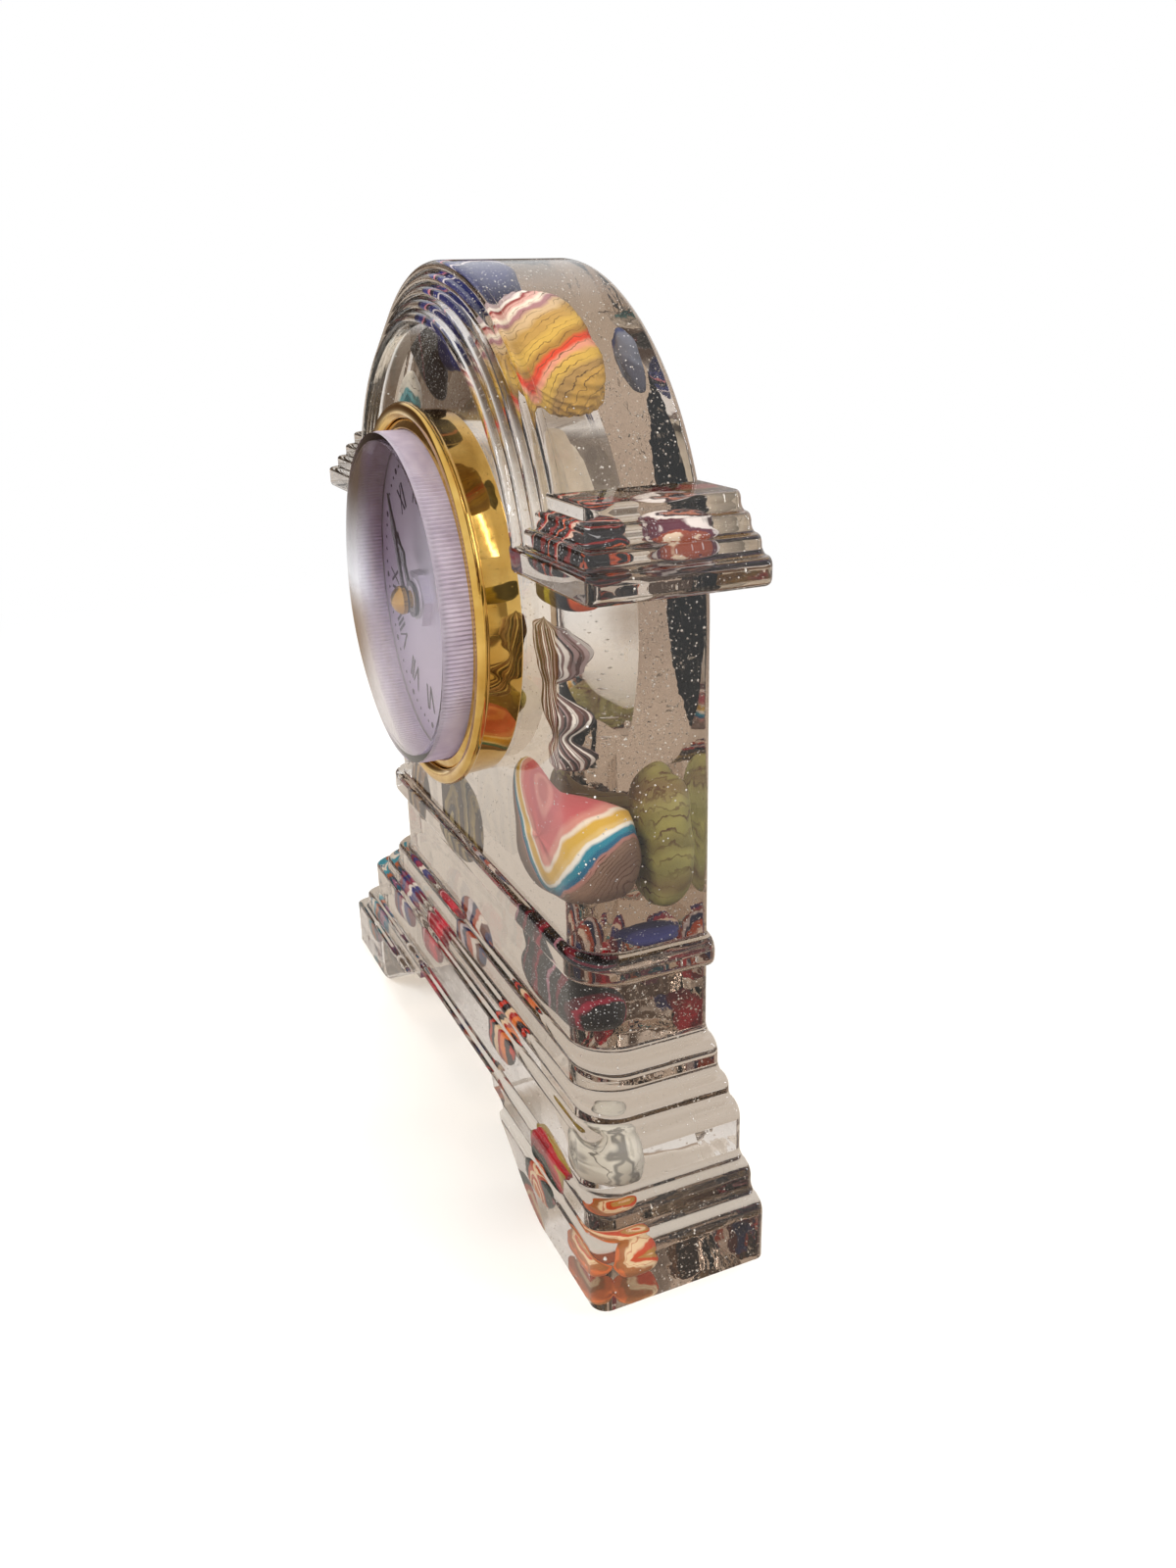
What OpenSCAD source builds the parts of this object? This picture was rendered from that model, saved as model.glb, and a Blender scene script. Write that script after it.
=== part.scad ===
/* [Case body] */
// Width of the upright body across its flat sides
body_w = 112.6; // [108:0.1:118]
// Thickness of the body from its front face to its back
body_d = 24.3; // [22.5:0.1:30]
// Radius of the body's upright front corners
body_round = 8.5; // [4:0.5:8.5]
// Height of the centre of the round top above the table
arch_z = 111.3; // [109:0.1:118]

/* [Hood over the dial] */
// Inner radius of the ribbed hood
hood_r = 45.9; // [44:0.1:48]
// How far the innermost rib stands out of the front face
hood_out = 5.8; // [4.5:0.1:7]
// How far the outermost rib stands out of the front face
hood_edge_out = 1.3; // [0.8:0.1:2.5]
// Number of ribs
hood_ribs = 5; // [3:1:6]

/* [Cornice] */
// Width of the lowest, widest layer
cornice_w = 149.2; // [144:0.1:154]
// Height of the underside above the table
cornice_z = 120.5; // [118.5:0.1:124]
// Height of the lowest layer
cornice_lip_h = 4.4; // [3:0.1:6]
// Height of each of the three layers above it
cornice_step_h = 2.8; // [2:0.1:3.5]
// How much each layer is set in at the sides
cornice_step_in = 3.1; // [2:0.1:4]
// How much each layer is set back at the front
cornice_step_back = 1.4; // [1:0.1:1.5]

/* [Waist band] */
// Height of the band's underside above the table
band_z = 49.5; // [47.5:0.1:51]
// Height of the band
band_h = 5.5; // [3:0.1:6]
// How far the band stands out at the sides
band_out = 3; // [1:0.1:4]
// How far the band stands out at the front
band_front = 1.8; // [1:0.1:3]

/* [Plinth] */
// Width of the bottom block
plinth_w = 154.4; // [150:0.1:160]
// How far the bottom block stands out of the front face
plinth_out = 8.6; // [7.8:0.1:12]
// Height of the bottom block
base_h = 11.5; // [10.5:0.1:14]
// Height of the layer on the bottom block
shoe_h = 4.7; // [4:0.1:6]
// Height of the tall layer
die_h = 10; // [8:0.1:12]
// Height of the thin layer on the tall one
fillet_h = 3.2; // [2:0.1:4]
// Height of the top layer
cap_h = 5.6; // [4:0.1:7]
// How much each layer is set in at the sides
plinth_step_in = 4.1; // [3:0.1:4.5]
// How much each layer is set back at the front
plinth_step_back = 1.65; // [1:0.05:1.8]
// Rounding of the plan corners of the upper layers
plan_round = 9; // [6:0.5:10]
// Rounding of the plan corners of the bottom block
base_round = 3; // [1:0.5:5]

/* [Gap between the feet] */
// Height of the raised middle above the table
gap_h = 15.2; // [13:0.1:16]
// Width of the flat raised middle
gap_top_w = 47; // [40:0.5:50]
// Height at which the curve down to the feet starts
gap_shoulder = 12.8; // [11:0.1:13]
// Width of the gap at the table
gap_foot_w = 108; // [100:0.5:112]

/* [Dial opening] */
// Height of the dial's centre above the table
dial_z = 108; // [106:0.1:111]
// Diameter of the round pocket for the clock insert
pocket_d = 65; // [64:0.1:66]
// Depth of the pocket from the front face
pocket_depth = 18; // [17.8:0.1:20]

/* [Clock insert] */
// Diameter over the bezel's front lip
bezel_d = 72; // [70:0.1:74]
// Diameter of the bezel where it meets the case
bezel_rear_d = 68.6; // [67.5:0.1:69.5]
// Height of the bezel in front of the case
bezel_h = 9; // [8.6:0.1:11]
// Gap between the bezel and the case
seat_gap = 0.2; // [0.1:0.05:0.3]
// Diameter of the lens
lens_d = 62.1; // [61:0.1:62.6]
// How far the lens's side wall stands in front of the bezel
lens_wall_out = 4.6; // [3:0.1:6]
// Rise of the domed front of the lens
dome_rise = 4.5; // [3:0.1:6]
// Thickness of the lens
lens_t = 2; // [1.5:0.1:2.5]
// Outer diameter of the cup's neck
neck_d = 62.8; // [62:0.1:63.2]
// Wall of the cup's neck
neck_wall = 1; // [0.8:0.1:1.2]
// Length of the cup's neck behind the case's front face
neck_len = 12; // [10:0.5:14]
// Gap all round between the rubber ring and the pocket
ring_gap = 0.1; // [0.05:0.01:0.2]

/* [Dial and hands] */
// Distance from the case's front face to the dial's face
dial_face = 6.5; // [6.3:0.1:6.8]
// Thickness of the dial
dial_t = 0.6; // [0.4:0.1:0.8]
// Radius of the ring of numerals, at their middle
numeral_r = 20; // [18:0.5:21]
// Height of the numerals
numeral_h = 5; // [4:0.5:6]
// Radius of the ring of minute dots
dots_r = 25.5; // [25:0.1:26.5]
// Length of the hour hand
hour_len = 13; // [10:0.5:15]
// Length of the minute hand
minute_len = 20; // [18:0.5:23]
// Angle of the minute hand, clockwise from twelve
minute_angle = 342; // [0:6:354]
// Hour shown
hour_shown = 10; // [0:1:11]

/* [Movement] */
// Outer diameter of the movement's round housing
housing_d = 56.8; // [56:0.1:58]
// Wall of the housing
housing_wall = 1; // [0.8:0.1:1.3]
// Radial clearance of the arbors in their holes
running = 0.05; // [0.02:0.01:0.08]
// Diameter of the button cell
cell_d = 11.6; // [10:0.1:12]
// Height of the button cell
cell_h = 3.1; // [2.6:0.1:3.4]

/* [Hidden] */
$fn = 96;
eps = 0.01;

// Places along the insert's own axis are counted from the case's front face towards the viewer.
lens_front = bezel_h + lens_wall_out;
crown = lens_front + dome_rise;
front_y = (crown - body_d) / 2;
body_r = body_w / 2;
cornice_r = cornice_w / 2;
pocket_r = pocket_d / 2;
lens_r = lens_d / 2;
dome_r = (lens_r * lens_r + dome_rise * dome_rise) / (2 * dome_rise);
neck_r = neck_d / 2;
housing_r = housing_d / 2;
plinth_r = plinth_w / 2;

// The layers' tops, from the bottom block up
shoe_z = base_h + shoe_h;
die_z = shoe_z + die_h;
fillet_z = die_z + fillet_h;
cap_z = fillet_z + cap_h;
wall_h = cornice_z - cap_z;

// How much less each lower layer of the plinth is rounded, and the cornice's own rounding
round_step = 1.5;
cornice_round = 1;
cornice_steps = 3;
cornice_rise = cornice_lip_h + cornice_steps * cornice_step_h;

// The gap's outline: length of the short fall beside the middle and number of points down to a foot
shoulder_run = 1;
gap_points = 10;

// Bezel: width of its lip, flare and crease of its two bands, roll of its front edge and its play
lip_w = 2.95;
band_flare = 0.45;
crease = 0.15;
crease_z = 3.6;
roll = 0.6;
roll_flat = 0.4;
lip_drop = 0.8;
neck_play = 0.3;
well_play = 0.1;
flange_t = 0.9;
lip_r = bezel_d / 2;
seat_r = bezel_rear_d / 2;
well_r = lip_r - lip_w;

// Rubber ring: thickness of its web, number, pitch and outline of its ribs, distance from the neck's end
rubber_t = 0.5;
rubber_ribs = 3;
rubber_pitch = 2.4;
rubber_rib = [0, 0.8, 1.2, 1.6];
rubber_from_end = 3;

// Dial, its print and the parts stacked behind and before it
dial_back = dial_face - dial_t;
print_t = 0.08;
dot_r = 0.3;
hour_dot_r = 0.6;
plate_t = 1.2;
plate_back = dial_back - plate_t;
nut_t = 1.5;
nut_r = 5.6;
bush_r = 3.9;
bush_out = 0.2;
hand_t = 0.4;
hand_gap = 0.3;
hands_apart = 0.9;
hour_hand_z = dial_face + nut_t + bush_out + hand_gap;
minute_hand_z = hour_hand_z + hand_t + hands_apart;
hand_cap_h = 2.4;
hand_cap_r = 2.7;
hand_cap_dome_r = 3;

// Wheels: number of teeth and module of each toothing
minute_teeth = 12;
motion_teeth = 36;
motion_m = 0.3;
motion_pinion_teeth = 12;
hour_teeth = 48;
hour_m = 0.24;
knob_teeth = 12;
centre_teeth = 80;
third_pinion_teeth = 10;
third_teeth = 60;
seconds_pinion_teeth = 8;
train_m = 0.25;
seconds_teeth = 60;
fifth_pinion_teeth = 10;
seconds_m = 0.2;
fifth_teeth = 60;
rotor_pinion_teeth = 12;
fifth_m = 0.18;

// Thickness of the toothings, the space between two levels and the free space behind the plate
wheel_t = 0.6;
motion_t = 1;
hour_wheel_t = 0.8;
level_gap = 0.6;
hour_gap = 0.7;
motion_gap = 1.2;
web_gap = 0.7;
centre_gap = 0.8;

// Directions from each arbor to the next, counted anticlockwise from the viewer's right
motion_dir = 60;
third_dir = 200;
seconds_dir = 270;
fifth_dir = 350;
rotor_dir = 0;

function mesh(m, a, b) = m * (a + b) / 2;
function step_to(p, dist, dir) = [p[0] + dist * cos(dir), p[1] + dist * sin(dir)];
motion_pos = step_to([0, 0], mesh(motion_m, minute_teeth, motion_teeth), motion_dir);
knob_pos = step_to(motion_pos, mesh(motion_m, motion_teeth, knob_teeth), motion_dir);
third_pos = step_to([0, 0], mesh(train_m, centre_teeth, third_pinion_teeth), third_dir);
seconds_pos = step_to(third_pos, mesh(train_m, third_teeth, seconds_pinion_teeth), seconds_dir);
fifth_pos = step_to(seconds_pos, mesh(seconds_m, seconds_teeth, fifth_pinion_teeth), fifth_dir);
rotor_pos = step_to(fifth_pos, mesh(fifth_m, fifth_teeth, rotor_pinion_teeth), rotor_dir);

// Levels of the wheels inside the housing, from the front to the back
hour_wheel_z = plate_back - hour_gap - hour_wheel_t;
motion_z = hour_wheel_z - motion_gap - motion_t;
web_t = 0.8;
web_z = motion_z - web_gap - web_t;
web_top = web_z + web_t;
centre_z = web_z - centre_gap - wheel_t;
third_z = centre_z - level_gap - wheel_t;
seconds_z = third_z - level_gap - wheel_t;
fifth_z = seconds_z - level_gap - wheel_t;
stator_t = 0.8;
stator_gap = 0.8;
stator_z = fifth_z - stator_gap - stator_t;
post_h = 2.4;
pivot_z = stator_z - post_h;
pivot_t = 1;
pivot_hole = 0.7;
board_z = pivot_z - pivot_t;
board_t = 0.8;
cell_room = 4.2;
rear_z = board_z - board_t - cell_room;
rear_t = 0.8;

// Arbors, pinions and the parts round the cell, the coil and the screws
arbor_r = 0.5;
centre_arbor_r = 0.8;
arbor_short = 0.2;
cannon_r = 1.65;
pipe_r = 2.5;
knob_arbor_r = 1;
knob_r = 4;
knob_h = 1.5;
knob_gap = 0.2;
grips = 24;
grip_r = 0.25;
web_hole_play = 0.3;
cell_r = cell_d / 2;
cell_pos = [15, -8];
cell_step = 0.4;
cell_rim = 0.9;
cell_play = 0.25;
clip_t = 0.3;
clip_w = 3;
clip_reach = 2.5;
contact_t = 0.3;
contact_r = 3;
coil_len = 11;
coil_start = 5.2;
coil_r = 2.1;
coil_bore_r = 0.75;
core_w = 1.2;
core_end = coil_start + coil_len + 0.2;
pad_w = 2;
pad_h = 4;
lobe_r = 4;
lobe_bore_r = 2;
post_r = 0.8;
magnet_r = 1.6;
magnet_over = 0.4;
magnet_gap = 0.2;
board_play = 0.4;
board_top = 3;
screw_dirs = [90, 200, 350];
screw_r = 0.9;
boss_r = 2.6;
boss_sunk = 0.8;
rear_boss_r = 2.3;
screw_into = 3.5;
screw_room = 0.5;
head_r = 1.8;
head_h = 0.8;
slot_w = 0.4;
housing_in_r = housing_r - housing_wall;
screw_ring_r = housing_in_r - boss_r + boss_sunk;

// Moves to the dial's centre and turns so that z points at the viewer, x to the right and y up
module at_dial() {
    translate([0, front_y, dial_z]) rotate([90, 0, 0]) children();
}

// Outline of a layer seen from above: square at the back, rounded at the two front corners
module plan(half_w, out, corner) {
    back = front_y + body_d;
    front = front_y - out;
    difference() {
        translate([-half_w, front]) square([2 * half_w, back - front]);
        for (side = [-1, 1])
            translate([side * (half_w - corner), front + corner]) difference() {
                translate([side > 0 ? 0 : -corner - eps, -corner - eps]) square(corner + eps);
                circle(r = corner);
            }
    }
}

module layer(half_w, out, corner, low, high) {
    translate([0, 0, low]) linear_extrude(height = high - low) plan(half_w, out, corner);
}

// Upright body with its round top
module body_block() {
    difference() {
        translate([0, front_y + body_d, 0]) rotate([90, 0, 0]) linear_extrude(height = body_d) {
            translate([-body_r, 0]) square([body_w, arch_z]);
            translate([0, arch_z]) circle(r = body_r, $fn = 180);
        }
        for (side = [0, 1]) mirror([side, 0, 0]) corner_waste();
    }
}

// What is rounded off one upright front corner, from inside the plinth up to the cornice
module corner_waste() {
    reach = body_round + 1;
    translate([body_r - body_round, front_y + body_round, die_z]) difference() {
        translate([0, -reach, 0]) cube([reach, reach, cornice_z - die_z]);
        translate([0, 0, -1]) cylinder(r = body_round, h = cornice_z - die_z + 2, $fn = 72);
    }
}

// Ribs of the hood, each one further out and further back than the one inside it
module hood() {
    rib_w = (body_r - hood_r) / hood_ribs;
    rib_back = (hood_out - hood_edge_out) / (hood_ribs - 1);
    for (i = [0:hood_ribs - 1])
        translate([0, front_y + eps, arch_z]) rotate([90, 0, 0])
            cylinder(r = hood_r + (i + 1) * rib_w, h = hood_out - i * rib_back + eps, $fn = 180);
}

module cornice() {
    layer(cornice_r, hood_out, cornice_round, cornice_z, cornice_z + cornice_lip_h);
    for (i = [1:cornice_steps])
        layer(cornice_r - i * cornice_step_in, hood_out - i * cornice_step_back, cornice_round,
            cornice_z + cornice_lip_h + (i - 1) * cornice_step_h - eps,
            cornice_z + cornice_lip_h + i * cornice_step_h);
}

// Everything that stands out of the front face at the top, open inside the hood
module head() {
    difference() {
        union() {
            intersection() {
                hood();
                translate([-body_w, -body_w, cornice_z]) cube([2 * body_w, 2 * body_w, body_w]);
            }
            cornice();
        }
        translate([0, front_y, arch_z]) rotate([90, 0, 0]) cylinder(r = hood_r, h = hood_out + 1, $fn = 180);
    }
}

module plinth() {
    tops = [base_h, shoe_z, die_z, fillet_z, cap_z];
    last = len(tops) - 1;
    for (i = [0:last])
        layer(plinth_r - i * plinth_step_in, plinth_out - i * plinth_step_back,
            i == 0 ? base_round : plan_round - (last - i) * round_step,
            i == 0 ? 0 : tops[i - 1] - eps, tops[i]);
}

// Outline of the gap between the feet, with a half wave down to each foot
module gap_outline() {
    shoulder_x = gap_top_w / 2 + shoulder_run;
    run = gap_foot_w / 2 - shoulder_x;
    right = [for (i = [0:gap_points]) let (share = i / gap_points)
        [shoulder_x + run * share, gap_shoulder * (1 + cos(180 * share)) / 2]];
    left = [for (i = [gap_points:-1:0]) [-right[i][0], right[i][1]]];
    polygon(concat([[gap_top_w / 2, gap_h]], right, [[gap_foot_w / 2, -1], [-gap_foot_w / 2, -1]],
        left, [[-gap_top_w / 2, gap_h]]));
}

module resin_case() color([0.93, 0.91, 0.88, 0.35]) {
    difference() {
        union() {
            body_block();
            head();
            layer(body_r + band_out, band_front, plan_round, band_z, band_z + band_h);
            plinth();
        }
        translate([0, front_y + body_d + 1, 0]) rotate([90, 0, 0])
            linear_extrude(height = body_d + plinth_out + 2) gap_outline();
        at_dial() translate([0, 0, -pocket_depth]) cylinder(r = pocket_r, h = pocket_depth + 1, $fn = 180);
        chips();
    }
}

// Smooth closed outline with rounded corners and a few shallow lobes, in the unit square
chip_sides = 28;
chip_square = 2.6;
function lobing(a, lobes, depth) = 1 - depth * (1 - cos(lobes * a)) / 2;
function squircle(a) = pow(pow(abs(cos(a)), chip_square) + pow(abs(sin(a)), chip_square), -1 / chip_square);
module blob(size, lobes = 3, depth = 0.12) {
    linear_extrude(height = size[1], center = true)
        polygon([for (i = [0:chip_sides - 1])
            let (a = i * 360 / chip_sides, r = squircle(a) * lobing(a, lobes, depth))
            [size[0] / 2 * r * cos(a), size[2] / 2 * r * sin(a)]]);
}

// A chip: its middle to the right, back from the front face and above the table, then its size along
// each of them and its turn about the line of sight from the front. Places and sizes are shares of the
// form that holds the chip: the round top, the wall of the body, the cornice or the plinth.
module chip(place, size, turn = 0, lobes = 3, depth = 0.12) {
    translate([place[0], front_y + place[1], place[2]])
        rotate([90, 0, 0]) rotate(turn) blob(size, lobes, depth);
}

module banded_chip() color([0.85, 0.62, 0.25])
    chip([body_r * 0.51, body_d * 0.33, arch_z + body_r * 0.7],
        [body_r * 0.479, body_d * 0.62, body_r * 0.211], 142, 2, 0.1);
module navy_chip() color([0.1, 0.12, 0.35])
    chip([body_r * 0.05, body_d * 0.24, arch_z + body_r * 0.79],
        [body_r * 0.363, body_d * 0.44, body_r * 0.285], -8);
module black_chip() color([0.06, 0.06, 0.07])
    chip([body_r * -0.27, body_d * 0.24, arch_z + body_r * 0.72],
        [body_r * 0.427, body_d * 0.44, body_r * 0.211], -35, 2);
module teal_chip() color([0.3, 0.45, 0.45])
    chip([body_r * -0.5, body_d * 0.23, arch_z + body_r * 0.54],
        [body_r * 0.268, body_d * 0.41, body_r * 0.194], 45);
module back_navy_chip() color([0.12, 0.16, 0.32])
    chip([body_r * 0.55, body_d * 0.84, arch_z + body_r * 0.66],
        [body_r * 0.229, body_d * 0.16, body_r * 0.125], -45, 2);
module twisted_ribbon() color([0.55, 0.48, 0.46])
    chip([body_r * 0.76, body_d * 0.27, cap_z + wall_h * 0.736],
        [wall_h * 0.315, body_d * 0.41, body_r * 0.268], 90, 2, 0.35);
module rainbow_chip() color([0.85, 0.75, 0.65])
    chip([body_r * 0.63, body_d * 0.33, cap_z + wall_h * 0.415],
        [body_r * 0.63, body_d * 0.49, wall_h * 0.298], 0, 3, 0.1);
module olive_chip() color([0.55, 0.55, 0.2])
    chip([body_r * 0.73, body_d * 0.79, cap_z + wall_h * 0.421],
        [body_r * 0.427, body_d * 0.4, wall_h * 0.327], 0, 4, 0.1);
module cornice_red_chip() color([0.6, 0.15, 0.1])
    chip([cornice_r * 0.737, body_d * 0.08, cornice_z + cornice_rise * 0.399],
        [cornice_r * 0.267, body_d * 0.35, cornice_rise * 0.664]);
module cornice_orange_chip() color([0.8, 0.4, 0.15])
    chip([cornice_r * 0.818, body_d * 0.58, cornice_z + cornice_rise * 0.437],
        [cornice_r * 0.202, body_d * 0.45, cornice_rise * 0.664]);
module lower_cornice_chip() color([0.75, 0.55, 0.2])
    chip([body_r * 0.79, body_d * 0.21, cornice_z - wall_h * 0.045],
        [body_r * 0.268, body_d * 0.27, wall_h * 0.065], 0, 2);
module navy_strip() color([0.12, 0.14, 0.35])
    chip([body_r * 0.85, body_d * 0.62, cap_z + wall_h * 0.233],
        [body_r * 0.194, body_d * 0.41, wall_h * 0.034], 0, 2);
module pointed_chip() color([0.15, 0.05, 0.08])
    chip([body_r * 0.62, body_d * 0.27, cap_z + wall_h * 0.082],
        [body_r * 0.604, body_d * 0.41, wall_h * 0.222], -8, 3, 0.25);
module ringed_chip() color([0.5, 0.45, 0.3])
    chip([body_r * -0.23, body_d * 0.33, cap_z + wall_h * 0.259],
        [body_r * 0.462, body_d * 0.37, wall_h * 0.244], 0, 2);
module brown_chip() color([0.4, 0.3, 0.22])
    chip([body_r * -0.75, body_d * 0.33, cap_z + wall_h * 0.199],
        [body_r * 0.211, body_d * 0.33, wall_h * 0.188], 10, 2);
module rust_chip() color([0.55, 0.25, 0.18])
    chip([plinth_r * -0.078, body_d * 0.25, cap_z * 0.898],
        [plinth_r * 0.258, body_d * 0.33, cap_z * 0.403]);
module crimson_chip() color([0.65, 0.05, 0.12])
    chip([plinth_r * -0.311, body_d * 0.12, cap_z * 0.641],
        [plinth_r * 0.208, body_d * 0.33, cap_z * 0.285]);
module left_foot_chip() color([0.3, 0.5, 0.6])
    chip([plinth_r * -0.855, body_d * 0.08, cap_z * 0.259],
        [plinth_r * 0.195, body_d * 0.37, cap_z * 0.34]);
module left_die_chip() color([0.3, 0.25, 0.5])
    chip([plinth_r * -0.596, body_d * 0.12, cap_z * 0.627],
        [plinth_r * 0.233, body_d * 0.33, cap_z * 0.285]);
module middle_red_chip() color([0.75, 0.2, 0.1])
    chip([plinth_r * 0.272, body_d * 0.08, cap_z * 0.599],
        [plinth_r * 0.195, body_d * 0.33, cap_z * 0.257]);
module cream_chip() color([0.9, 0.88, 0.8])
    chip([plinth_r * 0.751, body_d * 0.16, cap_z * 0.502],
        [plinth_r * 0.135, body_d * 0.25, cap_z * 0.285]);
module foot_swirl_chip() color([0.5, 0.15, 0.12])
    chip([plinth_r * 0.628, body_d * -0.14, cap_z * 0.273],
        [plinth_r * 0.148, body_d * 0.26, cap_z * 0.354]);
module orange_foot_chip() color([0.85, 0.45, 0.25])
    chip([plinth_r * 0.829, body_d * 0.12, cap_z * 0.093],
        [plinth_r * 0.22, body_d * 0.53, cap_z * 0.146]);

// All the chips together, as they are cast into the case
module chips() {
    banded_chip();
    navy_chip();
    black_chip();
    teal_chip();
    back_navy_chip();
    twisted_ribbon();
    rainbow_chip();
    olive_chip();
    cornice_red_chip();
    cornice_orange_chip();
    lower_cornice_chip();
    navy_strip();
    pointed_chip();
    ringed_chip();
    brown_chip();
    rust_chip();
    crimson_chip();
    left_foot_chip();
    left_die_chip();
    middle_red_chip();
    cream_chip();
    foot_swirl_chip();
    orange_foot_chip();
}

module tube(outer, inner, low, high) {
    translate([0, 0, low]) difference() {
        cylinder(r = outer, h = high - low, $fn = 180);
        translate([0, 0, -1]) cylinder(r = inner, h = high - low + 2, $fn = 180);
    }
}

// Toothed ring outline with narrow teeth, so that a pair runs with play
module teeth(n, m) {
    root = m * (n / 2 - 1.25);
    tip = m * (n / 2 + 0.9);
    steps = [[root, -0.3], [tip, -0.13], [tip, 0.13], [root, 0.3]];
    polygon([for (i = [0:n - 1], s = steps)
        let (a = (i + s[1]) * 360 / n) [s[0] * cos(a), s[0] * sin(a)]]);
}

// A toothing at height z whose tooth, or with gap = true whose space, points in direction dir
module toothing(n, m, z, t, dir, gap = false) {
    translate([0, 0, z]) linear_extrude(height = t) rotate(dir + (gap ? 180 / n : 0)) teeth(n, m);
}

module rod(r, low, high) {
    translate([0, 0, low]) cylinder(r = r, h = high - low, $fn = 32);
}

module at_arbor(p) {
    at_dial() translate([p[0], p[1], 0]) children();
}

// Gold bezel: a deep flared band with a rolled front lip
module bezel() color([0.83, 0.64, 0.25]) {
    ledge = dial_back - flange_t;
    inner = neck_r + neck_play;
    at_dial() rotate_extrude($fn = 180) polygon([
        [inner, seat_gap], [seat_r, seat_gap], [seat_r + band_flare, crease_z],
        [seat_r + band_flare - crease, crease_z + crease], [lip_r - roll, bezel_h - 2 * roll - roll_flat],
        [lip_r, bezel_h - roll - roll_flat], [lip_r, bezel_h - roll], [lip_r - roll, bezel_h],
        [well_r + 2 * roll, bezel_h], [well_r, bezel_h - lip_drop], [well_r, ledge], [inner, ledge]]);
}

// Inner gold ring between the bezel and the lens
module lens_ring() color([0.8, 0.6, 0.22]) {
    inner = lens_r + well_play;
    outer = well_r - well_play;
    at_dial() rotate_extrude($fn = 180) polygon([
        [inner, dial_back], [outer, dial_back], [outer, bezel_h - lip_drop - roll],
        [inner, bezel_h - roll]]);
}

// Cup-shaped lens: a side wall and a domed front
module lens() color([0.8, 0.76, 0.86, 0.35]) {
    dome_z = crown - dome_r;
    inner_r = lens_r - lens_t;
    at_dial() difference() {
        intersection() {
            translate([0, 0, dial_face]) cylinder(r = lens_r, h = crown - dial_face, $fn = 180);
            translate([0, 0, dome_z]) sphere(r = dome_r, $fn = 180);
        }
        intersection() {
            translate([0, 0, dial_face - 1]) cylinder(r = inner_r, h = crown - dial_face, $fn = 180);
            translate([0, 0, dome_z]) sphere(r = dome_r - lens_t, $fn = 180);
        }
    }
}

// Pale moulded neck that carries the insert in the pocket, with a flange for the dial
module neck_cup() color([0.9, 0.88, 0.82]) {
    at_dial() {
        tube(neck_r, neck_r - neck_wall, -neck_len, dial_back);
        tube(well_r - well_play, neck_r - neck_wall / 2, dial_back - flange_t, dial_back);
    }
}

// Rubber ring with three lips that grips the pocket's wall
module rubber_ring() color([0.86, 0.85, 0.8]) {
    back = rubber_from_end - neck_len;
    foot = neck_r + rubber_t;
    lip = pocket_r - ring_gap;
    reach = [foot, lip, lip, foot];
    at_dial() translate([0, 0, back]) rotate_extrude($fn = 180) polygon(concat(
        [for (i = [0:rubber_ribs - 1], k = [0:3]) [reach[k], i * rubber_pitch + rubber_rib[k]]],
        [[neck_r, (rubber_ribs - 1) * rubber_pitch + rubber_rib[3]], [neck_r, 0]]));
}

module dial() color([0.8, 0.77, 0.82]) {
    at_dial() tube(lens_r - well_play, bush_r, dial_back, dial_face);
}

// Stroke of a numeral: its place across the numeral, its lean and its width
module stroke(x, lean, w) {
    translate([x, 0]) multmatrix([[1, lean, 0, 0], [0, 1, 0, 0], [0, 0, 1, 0], [0, 0, 0, 1]])
        square([w, numeral_h], center = true);
}
thick = 0.6;
thin = 0.35;
one_pitch = 1.15;
five_lean = 0.32;
five_half = 0.75;
ten_lean = 0.5;
wide_shift = 0.6;
beside_wide = 2.3;
nine_close = 0.2;
module numeral_one(x) stroke(x, 0, thick);
module numeral_five(x) {
    stroke(x - five_half, -five_lean, thick);
    stroke(x + five_half, five_lean, thin);
}
module numeral_ten(x) {
    stroke(x, -ten_lean, thick);
    stroke(x, ten_lean, thin);
}
module ones(count, first) {
    if (count > 0) for (i = [0:count - 1]) numeral_one(first + i * one_pitch);
}
module numeral(hour) {
    if (hour < 5) ones(hour, -(hour - 1) / 2 * one_pitch);
    if (hour >= 5 && hour < 9) {
        numeral_five(-(hour - 5) * wide_shift);
        ones(hour - 5, beside_wide - (hour - 5) * wide_shift);
    }
    if (hour == 9) {
        numeral_one(wide_shift - beside_wide - nine_close);
        numeral_ten(wide_shift);
    }
    if (hour > 9) {
        numeral_ten(-(hour - 10) * wide_shift);
        ones(hour - 10, beside_wide - (hour - 10) * wide_shift);
    }
}
module dial_numerals() color([0.12, 0.1, 0.12]) {
    at_dial() translate([0, 0, dial_face]) linear_extrude(height = print_t)
        for (hour = [1:12]) rotate(-hour * 30) translate([0, numeral_r]) numeral(hour);
}
module minute_dots() color([0.12, 0.1, 0.12]) {
    at_dial() for (i = [0:59]) rotate(-i * 6) translate([0, dots_r, dial_face])
        cylinder(r = i % 5 == 0 ? hour_dot_r : dot_r, h = print_t, $fn = 16);
}

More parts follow.
